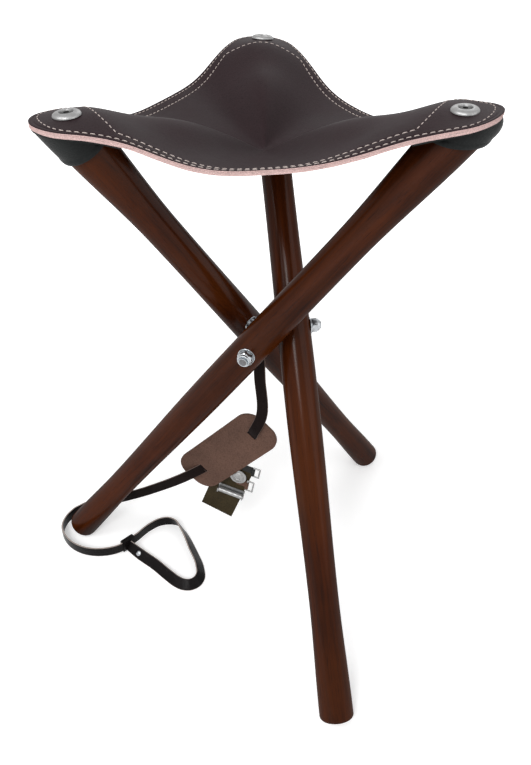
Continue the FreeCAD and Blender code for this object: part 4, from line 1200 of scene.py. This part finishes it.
def make_stud():
    """Domed stud with a flat rim and a pressed ring."""
    profile = [(0.0, 0.0), (2.5 * MM, 0.0), (2.5 * MM, TAB_THICKNESS), (9.2 * MM, TAB_THICKNESS),
               (9.5 * MM, TAB_THICKNESS + 0.4 * MM), (9.2 * MM, TAB_THICKNESS + 1.0 * MM),
               (6.6 * MM, TAB_THICKNESS + 1.1 * MM), (6.1 * MM, TAB_THICKNESS + 1.9 * MM),
               (5.0 * MM, TAB_THICKNESS + 2.6 * MM), (3.2 * MM, TAB_THICKNESS + 2.9 * MM),
               (2.6 * MM, TAB_THICKNESS + 2.3 * MM), (0.0, TAB_THICKNESS + 2.2 * MM)]
    grid = revolve(at_buckle(CHAFE_FRONT, STUD_OFFSET), ARM_A.out, profile)
    piece = make_piece("stud", [(grid, 0)], [CUP_METAL])
    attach(piece, "hub")
    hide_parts("strap_stud")


# Tie strap

def tie_route():
    """Points of the tie strap in arm coordinates."""
    foot = np.array((ARM_A.foot @ ARM_A.out, ARM_A.foot @ ARM_A.across, 0.0))
    return TIE_ROUTE + foot


def keeper_frame():
    """Keeper's middle, the run of the strap through it and the side it opens to."""
    first, second = tie_route()[KEEPER_INDEX:KEEPER_INDEX + 2]
    run = unit(second - first)
    aside = np.cross(run, UP)
    return (first + second) / 2, run, aside


def make_tie_strap():
    """Strap on edge round the foot, through its keeper and back in a loop to it.

    From the loop's far turn on it leans inwards, so that its outer face looks up.
    """
    anchor = anchor_layer(2)
    local = np.array((anchor @ ARM_A.out, anchor @ ARM_A.across, anchor[2]))
    route = tie_route()
    tail = local + unit(local - route[0]) * STRAP_TAIL
    middle, _, aside = keeper_frame()
    reach = STRAP_THICKNESS / 2 + SOFT_GAP + KEEPER_THICKNESS + 0.2 * MM
    route = np.concatenate(([tail], route, [middle + aside * reach]))
    order = np.arange(len(route))
    lean = np.interp(order, TIE_LEAN_AT, np.radians(TIE_LEAN))
    lying = np.clip(lean / math.radians(30), 0, 1)
    low = TIE_WIDTH / 2 * np.cos(lean) + STRAP_THICKNESS / 2 * np.sin(lean) + SOFT_GAP
    route[:, 2] = route[:, 2] * (1 - lying) + low * lying
    line = smooth_route(ARM_A.at(route[:, 0], route[:, 1], route[:, 2]), ROUTE_SPACING)
    places = run_lengths(route)
    lean = np.interp(np.linspace(0, places[-1], len(line)), places, lean)[:, None]
    tangent = unit(np.gradient(line, axis=0))
    inwards = unit(np.cross(tangent, UP))
    wide = UP * np.cos(lean) + inwards * np.sin(lean)
    grid, edge = strap_grid(line, wide, TIE_WIDTH, STRAP_THICKNESS)
    piece = make_piece("tie_band", [(grid, 0)], [TIE_LEATHER], attributes={"raw_edge": [edge]})
    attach(piece, "leg_a")
    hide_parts("tie_strap")
    spot = len(line) - RIVET_FROM_END
    outer = unit(np.cross(wide[spot], tangent[spot]))
    head = [(0.0, 0.0), (RIVET_HEAD_RADIUS, 0.0), (RIVET_HEAD_RADIUS, 0.4 * MM),
            (2.4 * MM, 1.1 * MM), (1.2 * MM, 1.4 * MM), (0.0, 1.45 * MM)]
    heads = [(revolve(line[spot] + side * outer * STRAP_THICKNESS / 2, side * outer, head, 32), 0)
             for side in (-1, 1)]
    rivet = make_piece("rivet", heads, [ZINC])
    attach(rivet, "leg_a")
    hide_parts("tie_rivet")


def make_keeper():
    """Leather keeper: outer and inner rounded oblongs joined at both ends."""
    middle, run, aside = keeper_frame()
    run_world = ARM_A.at(*run)
    aside_world = ARM_A.at(*aside)
    centre = ARM_A.at(*middle)
    angles = ring_angles(48)
    rings = []
    for extra, end in ((KEEPER_THICKNESS, -1), (KEEPER_THICKNESS, 1), (0, 1), (0, -1),
                       (KEEPER_THICKNESS, -1)):
        tall = TIE_WIDTH / 2 + SOFT_GAP + extra
        thick = STRAP_THICKNESS / 2 + SOFT_GAP + extra
        up = tall * squarish(np.cos(angles), 0.25)
        out = thick * squarish(np.sin(angles), 0.5)
        rings.append(centre + run_world * (end * KEEPER_LENGTH / 2) + up[:, None] * UP
                     + out[:, None] * aside_world)
    piece = make_piece("keeper", [(np.stack(rings), 0)], [TIE_LEATHER])
    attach(piece, "leg_a")
    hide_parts("tie_keeper")


# Stage

def dress_cad_nodes():
    """Gives the solid parts that stay in view their own finishes."""
    finishes = {"hub_bolt": ZINC, "buckle_base": CUP_METAL, "buckle_pin": CUP_METAL,
                "buckle_roller": CUP_METAL, "ring_tab_upper": BLACK_LEATHER,
                "ring_tab_lower": PAD_LEATHER, "wire_ring_upper": CUP_METAL,
                "wire_ring_lower": CUP_METAL, "anchor_screw": DARK_METAL}
    for name, material in finishes.items():
        mesh = frame["nodes"][name].data
        mesh.materials.clear()
        mesh.materials.append(material)


def make_floor():
    """Pale floor that takes the stool's shadow and is lifted to white in the camera's view."""
    side = np.linspace(-FLOOR_REACH, FLOOR_REACH, 3)
    grid = np.stack(np.meshgrid(side, side, [0.0], indexing="ij"), -1)[:, :, 0]
    material, tree, shader = new_material("floor")
    place = object_place(tree)
    colour = mix_colour(tree, noise(tree, place, 40.0), (0.90, 0.90, 0.90, 1), (0.93, 0.93, 0.93, 1))
    spread = add_node(tree, "ShaderNodeVectorMath", {0: place}, operation="LENGTH")
    lift = remap(tree, spread.outputs["Value"], FLOOR_LIFT_FROM, FLOOR_LIFT_TO, FLOOR_LIFT, 1.0)
    set_inputs(tree, shader, {
        "Base Color": colour, "Roughness": 0.9, "Specular IOR Level": 0.0,
        "Emission Color": (1, 1, 1, 1),
        "Emission Strength": arithmetic(tree, "MULTIPLY", lift, seen_directly(tree))})
    floor = make_piece("floor", [(grid, 0)], [material])


def seen_directly(tree):
    """One for rays from the camera, reflections and clear materials, nothing for light."""
    path = add_node(tree, "ShaderNodeLightPath")
    seen = arithmetic(tree, "MAXIMUM", path.outputs["Is Camera Ray"],
                      path.outputs["Is Transmission Ray"])
    return arithmetic(tree, "MAXIMUM", seen, path.outputs["Is Glossy Ray"])


def make_world():
    """White to the camera and in reflections, softer as a light."""
    world = bpy.data.worlds.new("studio")
    bpy.context.scene.world = world
    world.use_nodes = True
    tree = world.node_tree
    background = tree.nodes["Background"]
    background.inputs["Color"].default_value = (1, 1, 1, 1)
    tree.links.new(remap(tree, seen_directly(tree), 0.0, 1.0, WORLD_LIGHT, 1.0),
                   background.inputs["Strength"])


def aim_object(item, axes, place):
    """Puts a lamp or camera in its place, with its right, upper and rear directions."""
    item.matrix_world = Matrix([(*row, where) for row, where in zip(
        np.stack(axes, 1).tolist(), place)] + [(0, 0, 0, 1)])


def add_softbox(name, place, aim, size, power):
    """Rectangular lamp that faces the aim."""
    lamp = bpy.data.lights.new(name, "AREA")
    lamp.shape = "RECTANGLE"
    lamp.size, lamp.size_y = size
    lamp.energy = power
    toward = unit(np.array(aim, float) - np.array(place, float))
    right = unit(np.cross(toward, UP))
    aim_object(add_object(name, lamp), (right, np.cross(right, toward), -toward), place)


def make_camera():
    """Camera at the photo's place: 36 degrees down, just left of square on to the seat's side."""
    pitch, yaw, roll = np.radians(CAMERA_TURNS)
    forward = np.array((-math.sin(yaw) * math.cos(pitch), math.cos(yaw) * math.cos(pitch),
                        math.sin(pitch)))
    level = np.array((math.cos(yaw), math.sin(yaw), 0.0))
    raised = np.cross(level, forward)
    right = math.cos(roll) * level + math.sin(roll) * raised
    above = -math.sin(roll) * level + math.cos(roll) * raised
    lens = bpy.data.cameras.new("camera")
    lens.sensor_fit = "VERTICAL"
    lens.sensor_height = FILM_HEIGHT
    lens.lens = LENS_LENGTH
    lens.clip_start = 0.01
    camera = add_object("camera", lens)
    aim_object(camera, (right, above, -forward), CAMERA_PLACE)
    bpy.context.scene.camera = camera


for each in ARMS.values():
    make_leg(each)
    make_hardware(each)
    make_seat_third(each)
    make_seat_stitches(each)
    make_band(each)
    make_flange(each)
    make_sleeve(each)
    make_cup_and_screw(each)
make_pad()
make_strap()
make_lower_strap()
make_chafe()
make_stud()
make_tie_strap()
make_keeper()
dress_cad_nodes()
make_floor()
make_world()
for softbox, (spot, target, sides, watts) in SOFTBOXES.items():
    add_softbox(softbox, spot, target, sides, watts)
make_camera()
bpy.context.scene.view_settings.view_transform = "Standard"
